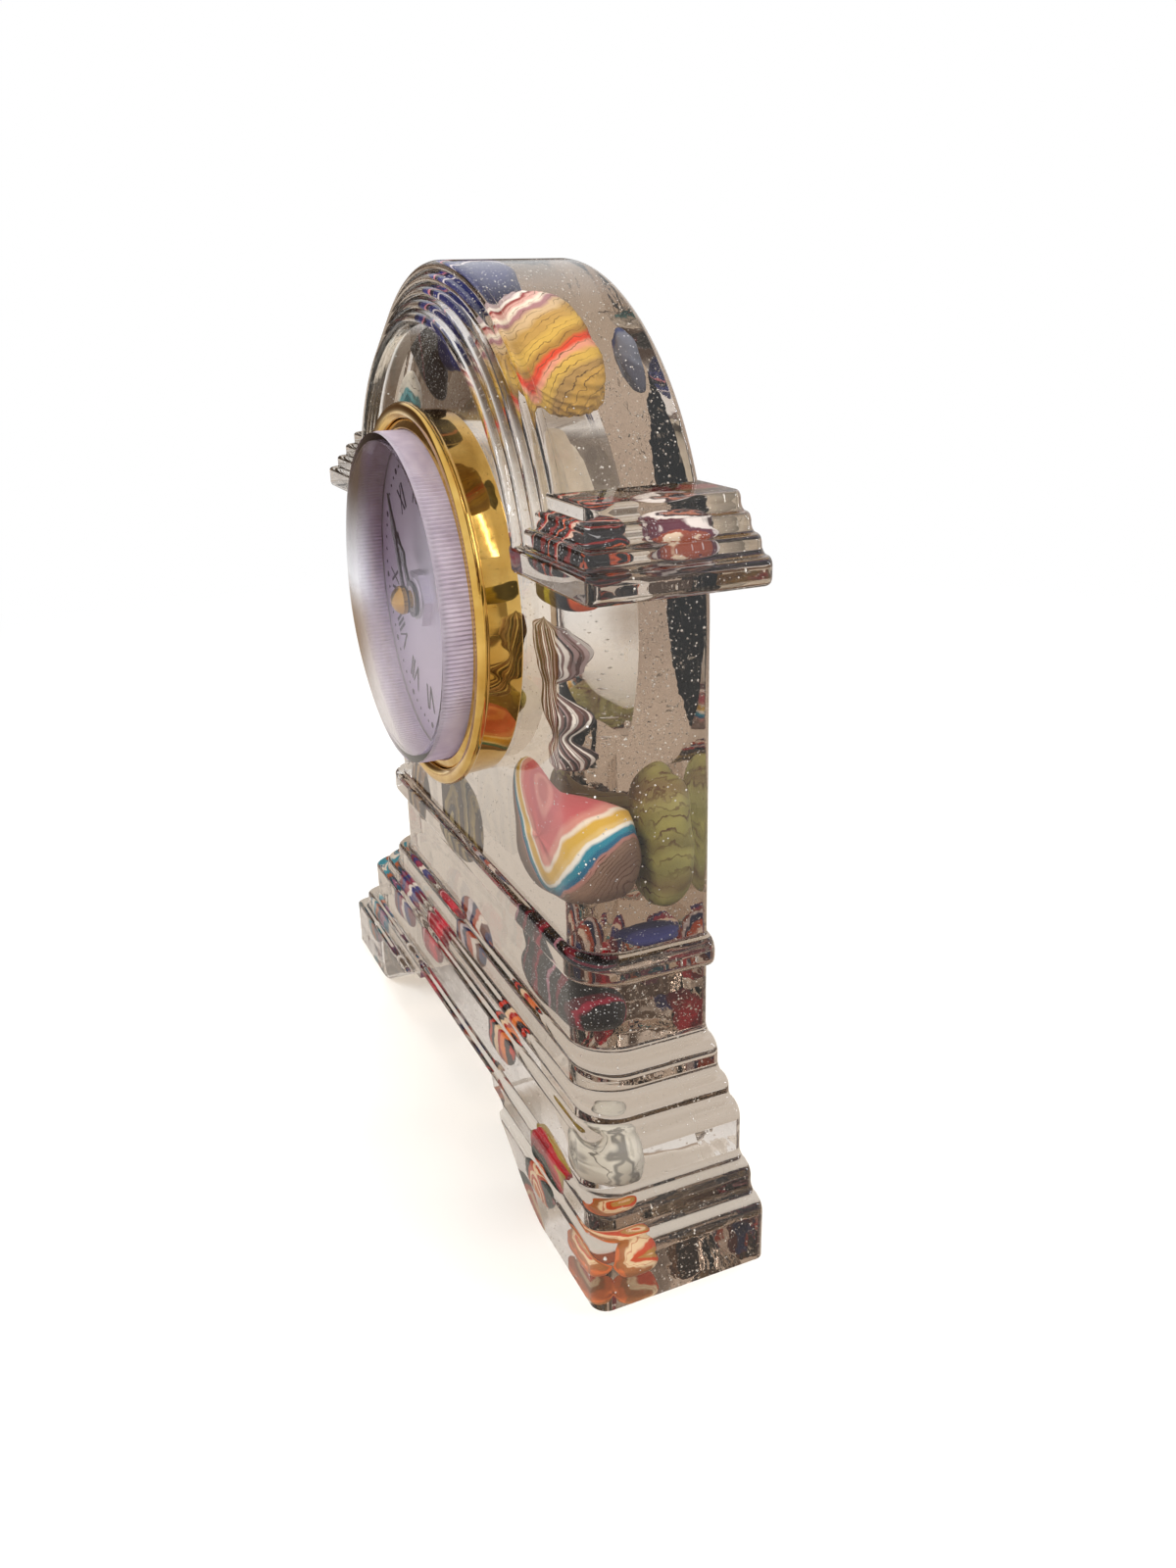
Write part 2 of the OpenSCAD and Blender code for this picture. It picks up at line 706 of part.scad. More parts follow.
// Hand outline pointing up: a slim blade that swells once and ends in a point
module blade(len, w, swell) {
    polygon([[-w / 2, 0], [-w * 0.35, len * 0.5], [-swell, len * 0.66], [-w * 0.3, len * 0.84], [0, len],
        [w * 0.3, len * 0.84], [swell, len * 0.66], [w * 0.35, len * 0.5], [w / 2, 0]]);
}
module hand(len, w, swell, hub, bore, z, angle) {
    translate([0, 0, z]) rotate(-angle) difference() {
        union() {
            linear_extrude(height = hand_t) blade(len, w, swell);
            cylinder(r = hub, h = hand_t);
        }
        translate([0, 0, -1]) cylinder(r = bore, h = hand_t + 2);
    }
}
hour_angle = hour_shown * 30 + minute_angle / 12;
module hour_hand() color([0.1, 0.09, 0.1]) {
    at_dial() hand(hour_len, 1.5, 1.7, 3.4, pipe_r, hour_hand_z, hour_angle);
}
module minute_hand() color([0.1, 0.09, 0.1]) {
    at_dial() hand(minute_len, 1.3, 1.2, 2.6, cannon_r, minute_hand_z, minute_angle);
}

// Gold domed cap on the end of the cannon pinion
module hand_cap() color([0.85, 0.68, 0.3]) {
    at_dial() translate([0, 0, minute_hand_z + hand_t]) intersection() {
        cylinder(r = hand_cap_r, h = hand_cap_h);
        translate([0, 0, hand_cap_h - hand_cap_dome_r]) sphere(r = hand_cap_dome_r);
    }
}

// The three screws' places, each turned so that x points outwards
module at_screws() {
    for (dir = screw_dirs) rotate(dir) translate([screw_ring_r, 0, 0]) children();
}

// Hexagonal nut that holds the movement's bushing to the dial
module hand_nut() color([0.75, 0.6, 0.3]) {
    at_dial() translate([0, 0, dial_face]) difference() {
        cylinder(r = nut_r, h = nut_t, $fn = 6);
        translate([0, 0, -1]) cylinder(r = bush_r, h = nut_t + 2);
    }
}

module front_plate() color([0.85, 0.85, 0.83]) {
    at_dial() {
        tube(housing_r, pipe_r + running, plate_back, dial_back);
        tube(bush_r, pipe_r + running, plate_back, dial_face + nut_t + bush_out);
    }
}

// Room inside the housing's wall between two levels, without the three screw bosses
module room(low, high, boss) {
    difference() {
        translate([0, 0, low]) cylinder(r = housing_in_r, h = high - low, $fn = 180);
        at_screws() translate([0, 0, low - 1]) cylinder(r = boss, h = high - low + 2, $fn = 48);
    }
}

// Round wall of the housing with the web that carries the wheels' arbors
module housing_ring() color([0.88, 0.87, 0.84]) {
    difference() {
        at_dial() translate([0, 0, pivot_z]) cylinder(r = housing_r, h = plate_back - pivot_z, $fn = 180);
        at_dial() translate([0, 0, web_top])
            cylinder(r = housing_in_r, h = plate_back - web_top + 1, $fn = 180);
        at_dial() room(pivot_z - 1, web_z, boss_r);
        at_dial() at_screws() translate([0, 0, pivot_z - 1])
            cylinder(r = screw_r + running, h = screw_into + screw_room + 1, $fn = 32);
        at_dial() translate([0, 0, web_z - 1]) cylinder(r = centre_arbor_r + web_hole_play, h = 3);
        at_arbor(knob_pos) translate([0, 0, web_z - 1]) cylinder(r = knob_arbor_r + running, h = 3);
        for (p = [third_pos, seconds_pos, fifth_pos, rotor_pos])
            at_arbor(p) translate([0, 0, web_z - 1]) cylinder(r = arbor_r + running, h = 3);
    }
    at_arbor(motion_pos) rod(arbor_r, web_top - eps, plate_back);
}

module cannon_pinion() color([0.8, 0.65, 0.35]) {
    at_dial() difference() {
        union() {
            toothing(minute_teeth, motion_m, motion_z, motion_t, motion_dir, true);
            translate([0, 0, motion_z + motion_t - eps])
                cylinder(r = cannon_r, h = minute_hand_z + hand_t - motion_z - motion_t + eps);
        }
        translate([0, 0, motion_z - 1]) cylinder(r = centre_arbor_r + running, h = 30);
    }
}

module hour_wheel() color([0.9, 0.88, 0.8]) {
    at_dial() difference() {
        union() {
            toothing(hour_teeth, hour_m, hour_wheel_z, hour_wheel_t, motion_dir, true);
            translate([0, 0, hour_wheel_z]) cylinder(r = pipe_r, h = hour_hand_z + hand_t - hour_wheel_z);
        }
        translate([0, 0, hour_wheel_z - 1]) cylinder(r = cannon_r + running, h = 30);
    }
}

module motion_wheel() color([0.9, 0.88, 0.8]) {
    at_arbor(motion_pos) difference() {
        union() {
            toothing(motion_teeth, motion_m, motion_z, motion_t, motion_dir + 180);
            toothing(motion_pinion_teeth, hour_m, motion_z + motion_t - eps,
                hour_wheel_z + hour_wheel_t - motion_z - motion_t + eps, motion_dir + 180);
        }
        translate([0, 0, motion_z - 1]) cylinder(r = arbor_r + running, h = 10);
    }
}

// Knob at the back with its arbor and the pinion that turns the hands
module setting_knob() color([0.9, 0.88, 0.82]) {
    at_arbor(knob_pos) {
        toothing(knob_teeth, motion_m, motion_z, motion_t, motion_dir + 180, true);
        rod(knob_arbor_r, rear_z - knob_gap - knob_h / 2, motion_z + motion_t / 2);
        translate([0, 0, rear_z - knob_gap - knob_h]) linear_extrude(height = knob_h) union() {
            circle(r = knob_r);
            for (i = [0:grips - 1]) rotate(i * 360 / grips)
                translate([knob_r, 0]) circle(r = grip_r, $fn = 16);
        }
    }
}

// Wheel and pinion on one arbor: the wheel sits at one level and its pinion at the level above
module wheel_pair(n, m, z, dir, pinion_n, pinion_m, pinion_z, pinion_dir) {
    toothing(n, m, z, wheel_t, dir, false);
    toothing(pinion_n, pinion_m, z, pinion_z + wheel_t - z, pinion_dir, true);
    rod(arbor_r, pivot_z - pivot_t / 2, web_top);
}

module centre_wheel() color([0.8, 0.65, 0.35]) {
    at_dial() {
        toothing(centre_teeth, train_m, centre_z, wheel_t, third_dir, false);
        rod(centre_arbor_r, pivot_z - pivot_t / 2, minute_hand_z + hand_t - arbor_short);
    }
}
module third_wheel() color([0.9, 0.88, 0.8]) {
    at_arbor(third_pos) wheel_pair(third_teeth, train_m, third_z, seconds_dir,
        third_pinion_teeth, train_m, centre_z, third_dir + 180);
}
module seconds_wheel() color([0.9, 0.88, 0.8]) {
    at_arbor(seconds_pos) wheel_pair(seconds_teeth, seconds_m, seconds_z, fifth_dir,
        seconds_pinion_teeth, train_m, third_z, seconds_dir + 180);
}
module fifth_wheel() color([0.9, 0.88, 0.8]) {
    at_arbor(fifth_pos) wheel_pair(fifth_teeth, fifth_m, fifth_z, rotor_dir,
        fifth_pinion_teeth, seconds_m, seconds_z, fifth_dir + 180);
}
module rotor() color([0.3, 0.3, 0.33]) {
    at_arbor(rotor_pos) {
        toothing(rotor_pinion_teeth, fifth_m, fifth_z, wheel_t, rotor_dir + 180, true);
        rod(arbor_r, pivot_z - pivot_t / 2, web_top);
        rod(magnet_r, stator_z - magnet_over, fifth_z - magnet_gap);
    }
}

// Stator plate: a lobe round the rotor, a core that runs through the coil and an end pad
module stator() color([0.6, 0.6, 0.62]) {
    at_arbor(rotor_pos) translate([0, 0, stator_z]) linear_extrude(height = stator_t) difference() {
        union() {
            circle(r = lobe_r);
            translate([lobe_bore_r + 1, -core_w / 2]) square([core_end - lobe_bore_r - 1 + eps, core_w]);
            translate([core_end, -pad_h / 2]) square([pad_w, pad_h]);
        }
        circle(r = lobe_bore_r);
    }
}
module coil() color([0.72, 0.35, 0.15]) {
    at_arbor(rotor_pos) translate([coil_start, 0, stator_z + stator_t / 2]) rotate([0, 90, 0]) difference() {
        cylinder(r = coil_r, h = coil_len, $fn = 48);
        translate([0, 0, -1]) cylinder(r = coil_bore_r, h = coil_len + 2, $fn = 48);
    }
}

// Plate that carries the rear ends of the arbors, with two posts under the stator
module pivot_plate() color([0.8, 0.8, 0.78]) {
    for (place = [[0, (lobe_r + lobe_bore_r) / 2], [core_end + pad_w / 2, 0]])
        at_arbor(rotor_pos) translate([place[0], place[1], 0]) rod(post_r, pivot_z - eps, stator_z);
    difference() {
        at_dial() translate([0, 0, pivot_z - pivot_t]) cylinder(r = housing_r, h = pivot_t, $fn = 180);
        at_arbor(knob_pos) translate([0, 0, pivot_z - 3]) cylinder(r = knob_arbor_r + running, h = 6);
        at_dial() at_screws() translate([0, 0, pivot_z - 3]) cylinder(r = screw_r + running, h = 6, $fn = 32);
        at_dial() translate([0, 0, pivot_z - pivot_hole]) cylinder(r = centre_arbor_r + running, h = 3);
        for (p = [third_pos, seconds_pos, fifth_pos, rotor_pos])
            at_arbor(p) translate([0, 0, pivot_z - pivot_hole]) cylinder(r = arbor_r + running, h = 3);
    }
}

module circuit_board() color([0.1, 0.35, 0.2]) {
    at_dial() translate([0, 0, board_z - board_t]) linear_extrude(height = board_t) difference() {
        circle(r = housing_in_r - board_play);
        translate([-housing_r, board_top]) square([housing_d, housing_r]);
        at_screws() circle(r = boss_r);
    }
}

// Crystal can lying on the board
can_r = 1;
can_len = 6;
can_pos = [-14, -8];
module quartz_crystal() color([0.78, 0.78, 0.8]) {
    at_arbor(can_pos) translate([0, 0, board_z - board_t - can_r]) rotate([0, 90, 0])
        cylinder(r = can_r, h = can_len, $fn = 32);
}

// Drop of black resin over the driver chip
drop_r = 2.8;
drop_h = 1.2;
drop_dome_r = 3.4;
drop_pos = [-2, -10];
module driver_blob() color([0.06, 0.06, 0.06]) {
    at_arbor(drop_pos) translate([0, 0, board_z - board_t]) rotate([180, 0, 0]) intersection() {
        cylinder(r = drop_r, h = drop_h);
        translate([0, 0, drop_h - drop_dome_r]) sphere(r = drop_dome_r);
    }
}
module button_cell() color([0.75, 0.75, 0.77]) {
    at_arbor(cell_pos) translate([0, 0, rear_z]) {
        cylinder(r = cell_r, h = cell_h - cell_step);
        cylinder(r = cell_r - cell_rim, h = cell_h);
    }
}

// Spring contact between the cell and the board
module cell_contact() color([0.82, 0.7, 0.4]) {
    at_arbor(cell_pos) {
        translate([0, 0, rear_z + cell_h]) cylinder(r = contact_r, h = contact_t);
        rod(1, rear_z + cell_h, board_z - board_t);
    }
}

// Metal strap that keeps the cell in its well
module cell_clip() color([0.82, 0.7, 0.4]) {
    at_arbor(cell_pos) translate([-cell_r - clip_reach, -clip_w / 2, rear_z - clip_t])
        cube([cell_d + 2 * clip_reach, clip_w, clip_t]);
}

module rear_cover() color([0.9, 0.88, 0.82]) {
    top = pivot_z - pivot_t;
    difference() {
        at_dial() translate([0, 0, rear_z]) cylinder(r = housing_r, h = top - rear_z, $fn = 180);
        at_dial() room(rear_z + rear_t, top + 1, rear_boss_r);
        at_dial() at_screws() translate([0, 0, rear_z - 1]) cylinder(r = screw_r + running, h = 10, $fn = 32);
        at_arbor(knob_pos) translate([0, 0, rear_z - 1]) cylinder(r = knob_arbor_r + running, h = 3);
        at_arbor(cell_pos) translate([0, 0, rear_z - 1]) cylinder(r = cell_r + cell_play, h = 3);
    }
}
module housing_screws() color([0.7, 0.7, 0.72]) {
    at_dial() at_screws() {
        rod(screw_r, rear_z, pivot_z + screw_into);
        translate([0, 0, rear_z - head_h]) difference() {
            cylinder(r = head_r, h = head_h, $fn = 32);
            translate([-head_r - 1, -slot_w / 2, -1]) cube([2 * head_r + 2, slot_w, head_h / 2 + 1]);
        }
    }
}

resin_case();
bezel();
lens_ring();
lens();
neck_cup();
rubber_ring();
dial();
dial_numerals();
minute_dots();
hour_hand();
hour_wheel();
minute_hand();
cannon_pinion();
hand_cap();
hand_nut();
front_plate();
housing_ring();
motion_wheel();
setting_knob();
centre_wheel();
third_wheel();
seconds_wheel();
fifth_wheel();
rotor();
stator();
coil();
pivot_plate();
circuit_board();
quartz_crystal();
driver_blob();
button_cell();
cell_contact();
cell_clip();
rear_cover();
housing_screws();
banded_chip();
navy_chip();
black_chip();
teal_chip();
back_navy_chip();
twisted_ribbon();
rainbow_chip();
olive_chip();
cornice_red_chip();
cornice_orange_chip();
lower_cornice_chip();
navy_strip();
pointed_chip();
ringed_chip();
brown_chip();
rust_chip();
crimson_chip();
left_foot_chip();
left_die_chip();
middle_red_chip();
cream_chip();
foot_swirl_chip();
orange_foot_chip();
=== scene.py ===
"""Looks of a small mantel clock cast in clear resin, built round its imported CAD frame.

Sizes are in millimetres in the part's own frame: x to the right, y to the back, z up. The front face of the
body lies at y = FRONT_Y and the dial's axis at z = DIAL_Z. Heights in front of the body's face count towards
the viewer of the dial.
"""
import logging
import math
from collections.abc import Callable
from dataclasses import dataclass
from enum import Enum
from functools import partial

import bmesh
import bpy
import numpy as np
from mathutils import Matrix


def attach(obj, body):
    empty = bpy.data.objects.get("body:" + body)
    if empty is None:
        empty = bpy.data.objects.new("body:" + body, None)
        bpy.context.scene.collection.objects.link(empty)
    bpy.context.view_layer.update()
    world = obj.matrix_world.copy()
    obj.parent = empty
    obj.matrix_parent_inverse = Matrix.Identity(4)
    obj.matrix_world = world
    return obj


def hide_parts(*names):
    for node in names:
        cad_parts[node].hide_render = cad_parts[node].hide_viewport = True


logging.basicConfig(level=logging.INFO, format="%(message)s")
LOG = logging.getLogger("clock")

MM = 0.001
FRONT_Y = -3.1
BACK_Y = 21.2
DIAL_Z = 108.0
ARCH_Z = 111.3
BODY_R = 56.3

Pair = tuple[float, float]
Triple = tuple[float, float, float]
Object = bpy.types.Object
Node = bpy.types.Node
Feed = bpy.types.Node | bpy.types.NodeSocket
Adder = Callable[..., bpy.types.Node]

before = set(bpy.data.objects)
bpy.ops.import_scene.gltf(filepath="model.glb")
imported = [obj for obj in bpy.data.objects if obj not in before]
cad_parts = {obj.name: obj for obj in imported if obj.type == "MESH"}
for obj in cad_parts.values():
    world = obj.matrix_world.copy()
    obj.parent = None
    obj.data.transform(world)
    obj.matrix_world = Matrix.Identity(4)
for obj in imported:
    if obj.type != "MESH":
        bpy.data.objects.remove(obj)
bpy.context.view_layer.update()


# Numbers and surfaces

def linear(colour: str) -> tuple[float, float, float, float]:
    """Turns an sRGB hex colour such as "C9A227" into linear red, green, blue and an alpha of 1."""
    parts = [int(colour[i:i + 2], 16) / 255 for i in (0, 2, 4)]
    values = [p / 12.92 if p <= 0.04045 else ((p + 0.055) / 1.055) ** 2.4 for p in parts]
    return (values[0], values[1], values[2], 1.0)


def full_turn(steps: int) -> np.ndarray:
    """Angles round a circle, with the last one step short of the first."""
    return np.linspace(0, 2 * np.pi, steps, endpoint=False)


def grid_faces(rows: int, columns: int, wrap_rows: bool = False) -> np.ndarray:
    """Four-sided faces of a grid of points whose rows are closed rings.

    Args:
        rows: Number of rows of points.
        columns: Points in a row.
        wrap_rows: Joins the last row to the first.

    Returns:
        One row of four point numbers for each face.
    """
    i, j = np.meshgrid(np.arange(rows - (not wrap_rows)), np.arange(columns), indexing="ij")
    up, over = (i + 1) % rows, (j + 1) % columns
    corners = [i * columns + j, i * columns + over, up * columns + over, up * columns + j]
    return np.stack(corners, -1).reshape(-1, 4)


def capped_faces(rows: int, columns: int) -> list:
    """Faces of stacked rings, with the first and the last ring closed by flat caps."""
    first = list(range(columns))[::-1]
    last = list(range((rows - 1) * columns, rows * columns))
    return grid_faces(rows, columns).tolist() + [first, last]


def rounded_path(corners: np.ndarray, radii: np.ndarray, steps: int) -> np.ndarray:
    """Polyline whose corners are replaced by circular arcs.

    Each arc is the rational quadratic curve from one cut point to the other, with the corner as its middle
    control point and the cosine of half the turn as its weight. Ends stay where they are.

    Args:
        corners: Corner points, one per row.
        radii: How far each corner is cut back along its two sides.
        steps: Spans in each arc.

    Returns:
        steps + 1 points for each inner corner, and the two ends.
    """
    before, here, after = corners[:-2], corners[1:-1], corners[2:]
    back = before - here
    forth = after - here
    back = back / np.linalg.norm(back, axis=1, keepdims=True)
    forth = forth / np.linalg.norm(forth, axis=1, keepdims=True)
    cut = radii[1:-1, None]
    start, end = here + back * cut, here + forth * cut
    weight = np.sqrt(np.clip((1 - (back * forth).sum(1)) / 2, 0.05, 1))[:, None, None]
    t = np.linspace(0, 1, steps + 1)[None, :, None]
    a, b, c = (1 - t) ** 2, 2 * weight * t * (1 - t), t ** 2
    arcs = (a * start[:, None] + b * here[:, None] + c * end[:, None]) / (a + b + c)
    return np.vstack([corners[:1], arcs.reshape(-1, corners.shape[1]), corners[-1:]])


def eased(t: np.ndarray, knots: list[float], values: list[float]) -> np.ndarray:
    """Values between knots, eased by a half cosine so that each knot is smooth."""
    at = np.asarray(knots)
    v = np.asarray(values)
    i = np.clip(np.searchsorted(at, t, side="right") - 1, 0, len(at) - 2)
    share = np.clip((t - at[i]) / (at[i + 1] - at[i]), 0, 1)
    share = (1 - np.cos(np.pi * share)) / 2
    return v[i] * (1 - share) + v[i + 1] * share


# Objects

def add_object(name: str, data: bpy.types.ID) -> Object:
    """Puts a mesh, lamp or camera into the scene as an object of its own."""
    made = bpy.data.objects.new(name, data)
    bpy.context.scene.collection.objects.link(made)
    return made


def new_mesh(name: str, points: np.ndarray, faces: list) -> bpy.types.Mesh:
    """Mesh of points in millimetres, in rows of any number, and of faces by point number."""
    mesh = bpy.data.meshes.new(name)
    mesh.from_pydata((points.reshape(-1, 3) * MM).tolist(), [], faces)
    return mesh


def smooth(piece: Object, sharp: float) -> None:
    """Shades a piece smooth apart from edges that turn by more than sharp degrees."""
    piece.data.polygons.foreach_set("use_smooth", np.ones(len(piece.data.polygons), bool))
    piece.data.set_sharp_from_angle(angle=math.radians(sharp))


def make_piece(name: str, points: np.ndarray, faces: list, sharp: float = 35.0) -> Object:
    """Makes a closed mesh object.

    Args:
        name: Name of the piece.
        points: Points in millimetres, in rows of any number.
        faces: Point numbers of each face.
        sharp: Edges that turn by more than this many degrees stay sharp.

    Returns:
        The object at the origin, with merged seams and outward faces.
    """
    mesh = new_mesh(name, points, faces)
    shape = bmesh.new()
    shape.from_mesh(mesh)
    bmesh.ops.remove_doubles(shape, verts=shape.verts, dist=1e-7)
    bmesh.ops.recalc_face_normals(shape, faces=shape.faces)
    shape.to_mesh(mesh)
    shape.free()
    piece = add_object(name, mesh)
    smooth(piece, sharp)
    return piece


def loft(name: str, rings: np.ndarray, sharp: float = 35.0) -> Object:
    """Skins closed rings of points in order and closes both ends with flat caps."""
    return make_piece(name, rings, capped_faces(*rings.shape[:2]), sharp)


def revolve(name: str, profile: np.ndarray, segments: int, sharp: float,
            wobble: float | np.ndarray = 0.0) -> Object:
    """Turns a closed profile about the dial's axis.

    A point at height h and radius r becomes x = r cos a, y = FRONT_Y - h, z = DIAL_Z + r sin a.

    Args:
        name: Name of the piece.
        profile: Height and radius of each point; the last point joins the first.
        segments: Steps round the axis.
        sharp: Sharp edge angle in degrees.
        wobble: Change of radius for each profile point and step, in millimetres.

    Returns:
        The finished object.
    """
    angle = full_turn(segments)
    h = np.broadcast_to(profile[:, 0:1], (len(profile), segments))
    radius = np.broadcast_to(profile[:, 1:2] + wobble, h.shape)
    points = np.stack([radius * np.cos(angle), FRONT_Y - h, DIAL_Z + radius * np.sin(angle)], -1)
    return make_piece(name, points, grid_faces(len(profile), segments, wrap_rows=True).tolist(), sharp)


class Join(Enum):
    """How two solids are combined."""

    ADD = "UNION"
    CUT = "DIFFERENCE"


def combine(base: Object, other: Object, how: Join) -> Object:
    """Adds one closed solid to another, or cuts it away, and drops the second object."""
    modifier = base.modifiers.new("combine", "BOOLEAN")
    modifier.operation = how.value
    modifier.solver = "MANIFOLD"
    modifier.object = other
    depsgraph = bpy.context.evaluated_depsgraph_get()
    mesh = bpy.data.meshes.new_from_object(base.evaluated_get(depsgraph))
    base.modifiers.clear()
    old = base.data
    base.data = mesh
    bpy.data.meshes.remove(old)
    bpy.data.objects.remove(other)
    return base


def hand_over(piece: Object, body: str, node: str = "") -> Object:
    """Says what a new piece rides on and which CAD node it replaces."""
    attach(piece, body)
    if node:
        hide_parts(node)
    LOG.info("%s: %d faces", piece.name, len(piece.data.polygons))
    return piece


# Finishes

def add_node(tree: bpy.types.NodeTree, kind: str, settings: dict | None = None,
             links: dict | None = None) -> Node:
    """Adds one shader node with its settings and links.

    Args:
        tree: Node tree of a material or world.
        kind: Blender's name for the node type, without its leading "ShaderNode".
        settings: Values by property name, or by input name or number.
        links: What feeds each input, by the input's name or number: a socket, or a node for its first output.

    Returns:
        The new node.
    """
    node = tree.nodes.new("ShaderNode" + kind)
    for key, value in (settings or {}).items():
        if isinstance(key, int) or key in node.inputs:
            node.inputs[key].default_value = value
        else:
            setattr(node, key, value)
    for key, source in (links or {}).items():
        socket = source.outputs[0] if isinstance(source, Node) else source
        tree.links.new(socket, node.inputs[key])
    return node


def fresh_nodes(owner: bpy.types.Material | bpy.types.World) -> Adder:
    """Empties the node tree of a material or world, and returns add_node for that tree."""
    owner.use_nodes = True
    owner.node_tree.nodes.clear()
    return partial(add_node, owner.node_tree)


def fill_ramp(node: Node, stops: list[tuple[float, str]]) -> Node:
    """Writes colour stops into a Color Ramp node."""
    ramp = node.color_ramp
    while len(ramp.elements) < len(stops):
        ramp.elements.new(0.5)
    for element, (place, colour) in zip(ramp.elements, stops):
        element.position = place
        element.color = linear(colour)
    return node


def grain(add: Adder, size_mm: float, detail: float, stretch: Triple = (1, 1, 1)) -> Node:
    """Noise on a piece's own coordinates, of a size in millimetres and stretched along the axes."""
    place = add("TexCoord").outputs["Object"]
    drawn = add("Mapping", {"Scale": stretch}, {"Vector": place})
    return add("TexNoise", {"Scale": 1 / (size_mm * MM), "Detail": detail}, {"Vector": drawn})


def see_through_shadow(add: Adder, skin: Node, colour: str = "FFFFFF") -> Node:
    """Lets lamps shine through a skin: shadow rays meet a clear colour in its place."""
    path = add("LightPath")
    clear = add("BsdfTransparent", {"Color": linear(colour)})
    return add("MixShader", links={0: path.outputs["Is Shadow Ray"], 1: skin, 2: clear})


@dataclass(frozen=True)
class Finish:
    """A material named for the real one."""

    name: str

    def nodes(self, add: Adder) -> dict[str, Node]:
        """Builds the finish's nodes.

        Args:
            add: Adds a node to the material's tree.

        Returns:
            What feeds the material's output, by the name of the input.
        """
        raise NotImplementedError

    def material(self) -> bpy.types.Material:
        """Makes the material, or finds the one made before."""
        found = bpy.data.materials.get(self.name)
        if found:
            return found
        made = bpy.data.materials.new(self.name)
        add = fresh_nodes(made)
        add("OutputMaterial", links=self.nodes(add))
        return made

    def put_on(self, piece: Object) -> None:
        """Gives a piece this finish in every material slot."""
        if not piece.material_slots:
            piece.data.materials.append(self.material())
            return
        for slot in piece.material_slots:
            slot.material = self.material()


@dataclass(frozen=True)
class ClearSolid(Finish):
    """A clear, glossy solid, with an inside that tints long paths through it."""

    colour: str = "FBFAF8"
    shadow: str = "DDD9D2"
    ior: float = 1.5
    tint: Triple = (0.76, 0.675, 0.595)
    density: float = 27.0
    wave_mm: float = 9.0
    wave: float = 0.18
    wave_depth: float = 0.0004

    def height(self, add: Adder) -> Node:
        """Height of the skin's faint waves."""
        return grain(add, self.wave_mm, 1.0)

    def nodes(self, add: Adder) -> dict[str, Node]:
        """Refracting skin, an absorbing inside, and a see-through shadow."""
        bump = add("Bump", {"Strength": self.wave, "Distance": self.wave_depth},
                   {"Height": self.height(add)})
        skin = add("BsdfPrincipled", {"Base Color": linear(self.colour), "Roughness": 0.0, "IOR": self.ior,
                                      "Transmission Weight": 1.0}, {"Normal": bump})
        inside = add("VolumeAbsorption", {"Color": (*self.tint, 1.0), "Density": self.density})
        return {"Surface": see_through_shadow(add, skin, self.shadow), "Volume": inside}


@dataclass(frozen=True)
class CastResin(ClearSolid):
    """Clear cast polyester: long paths through it turn warm grey, and its skin has a mould's faint waves."""

    streak: Triple = (0.3, 0.3, 2.4)
    streak_share: float = 0.5

    def height(self, add: Adder) -> Node:
        """Round waves, and half as high the level streaks that the mould leaves."""
        waves = grain(add, self.wave_mm, 1.5)
        streaks = grain(add, self.wave_mm, 2.0, self.streak)
        return add("Math", {"operation": "MULTIPLY_ADD", 1: self.streak_share}, {0: streaks, 2: waves})


@dataclass(frozen=True)
class AirBubble(Finish):
    """Air trapped in the resin, whose inside mirrors at each bubble, drawn as an opaque white ball: the white
    is a painted highlight, and each shows as a soft silver dot.
    """

    def nodes(self, add: Adder) -> dict[str, Node]:
        """Half metallic skin on a white base, the white a painted highlight, that throws no shadow."""
        skin = add("BsdfPrincipled", {"Base Color": linear("FBFAF7"), "Roughness": 0.2, "Metallic": 0.45})
        return {"Surface": see_through_shadow(add, skin)}


class Pattern(Enum):
    """How the colours of a swirled clay lie."""

    BANDS = "bands"
    RINGS = "rings"
    FLUTES = "flutes"
    CHEVRON = "chevron"


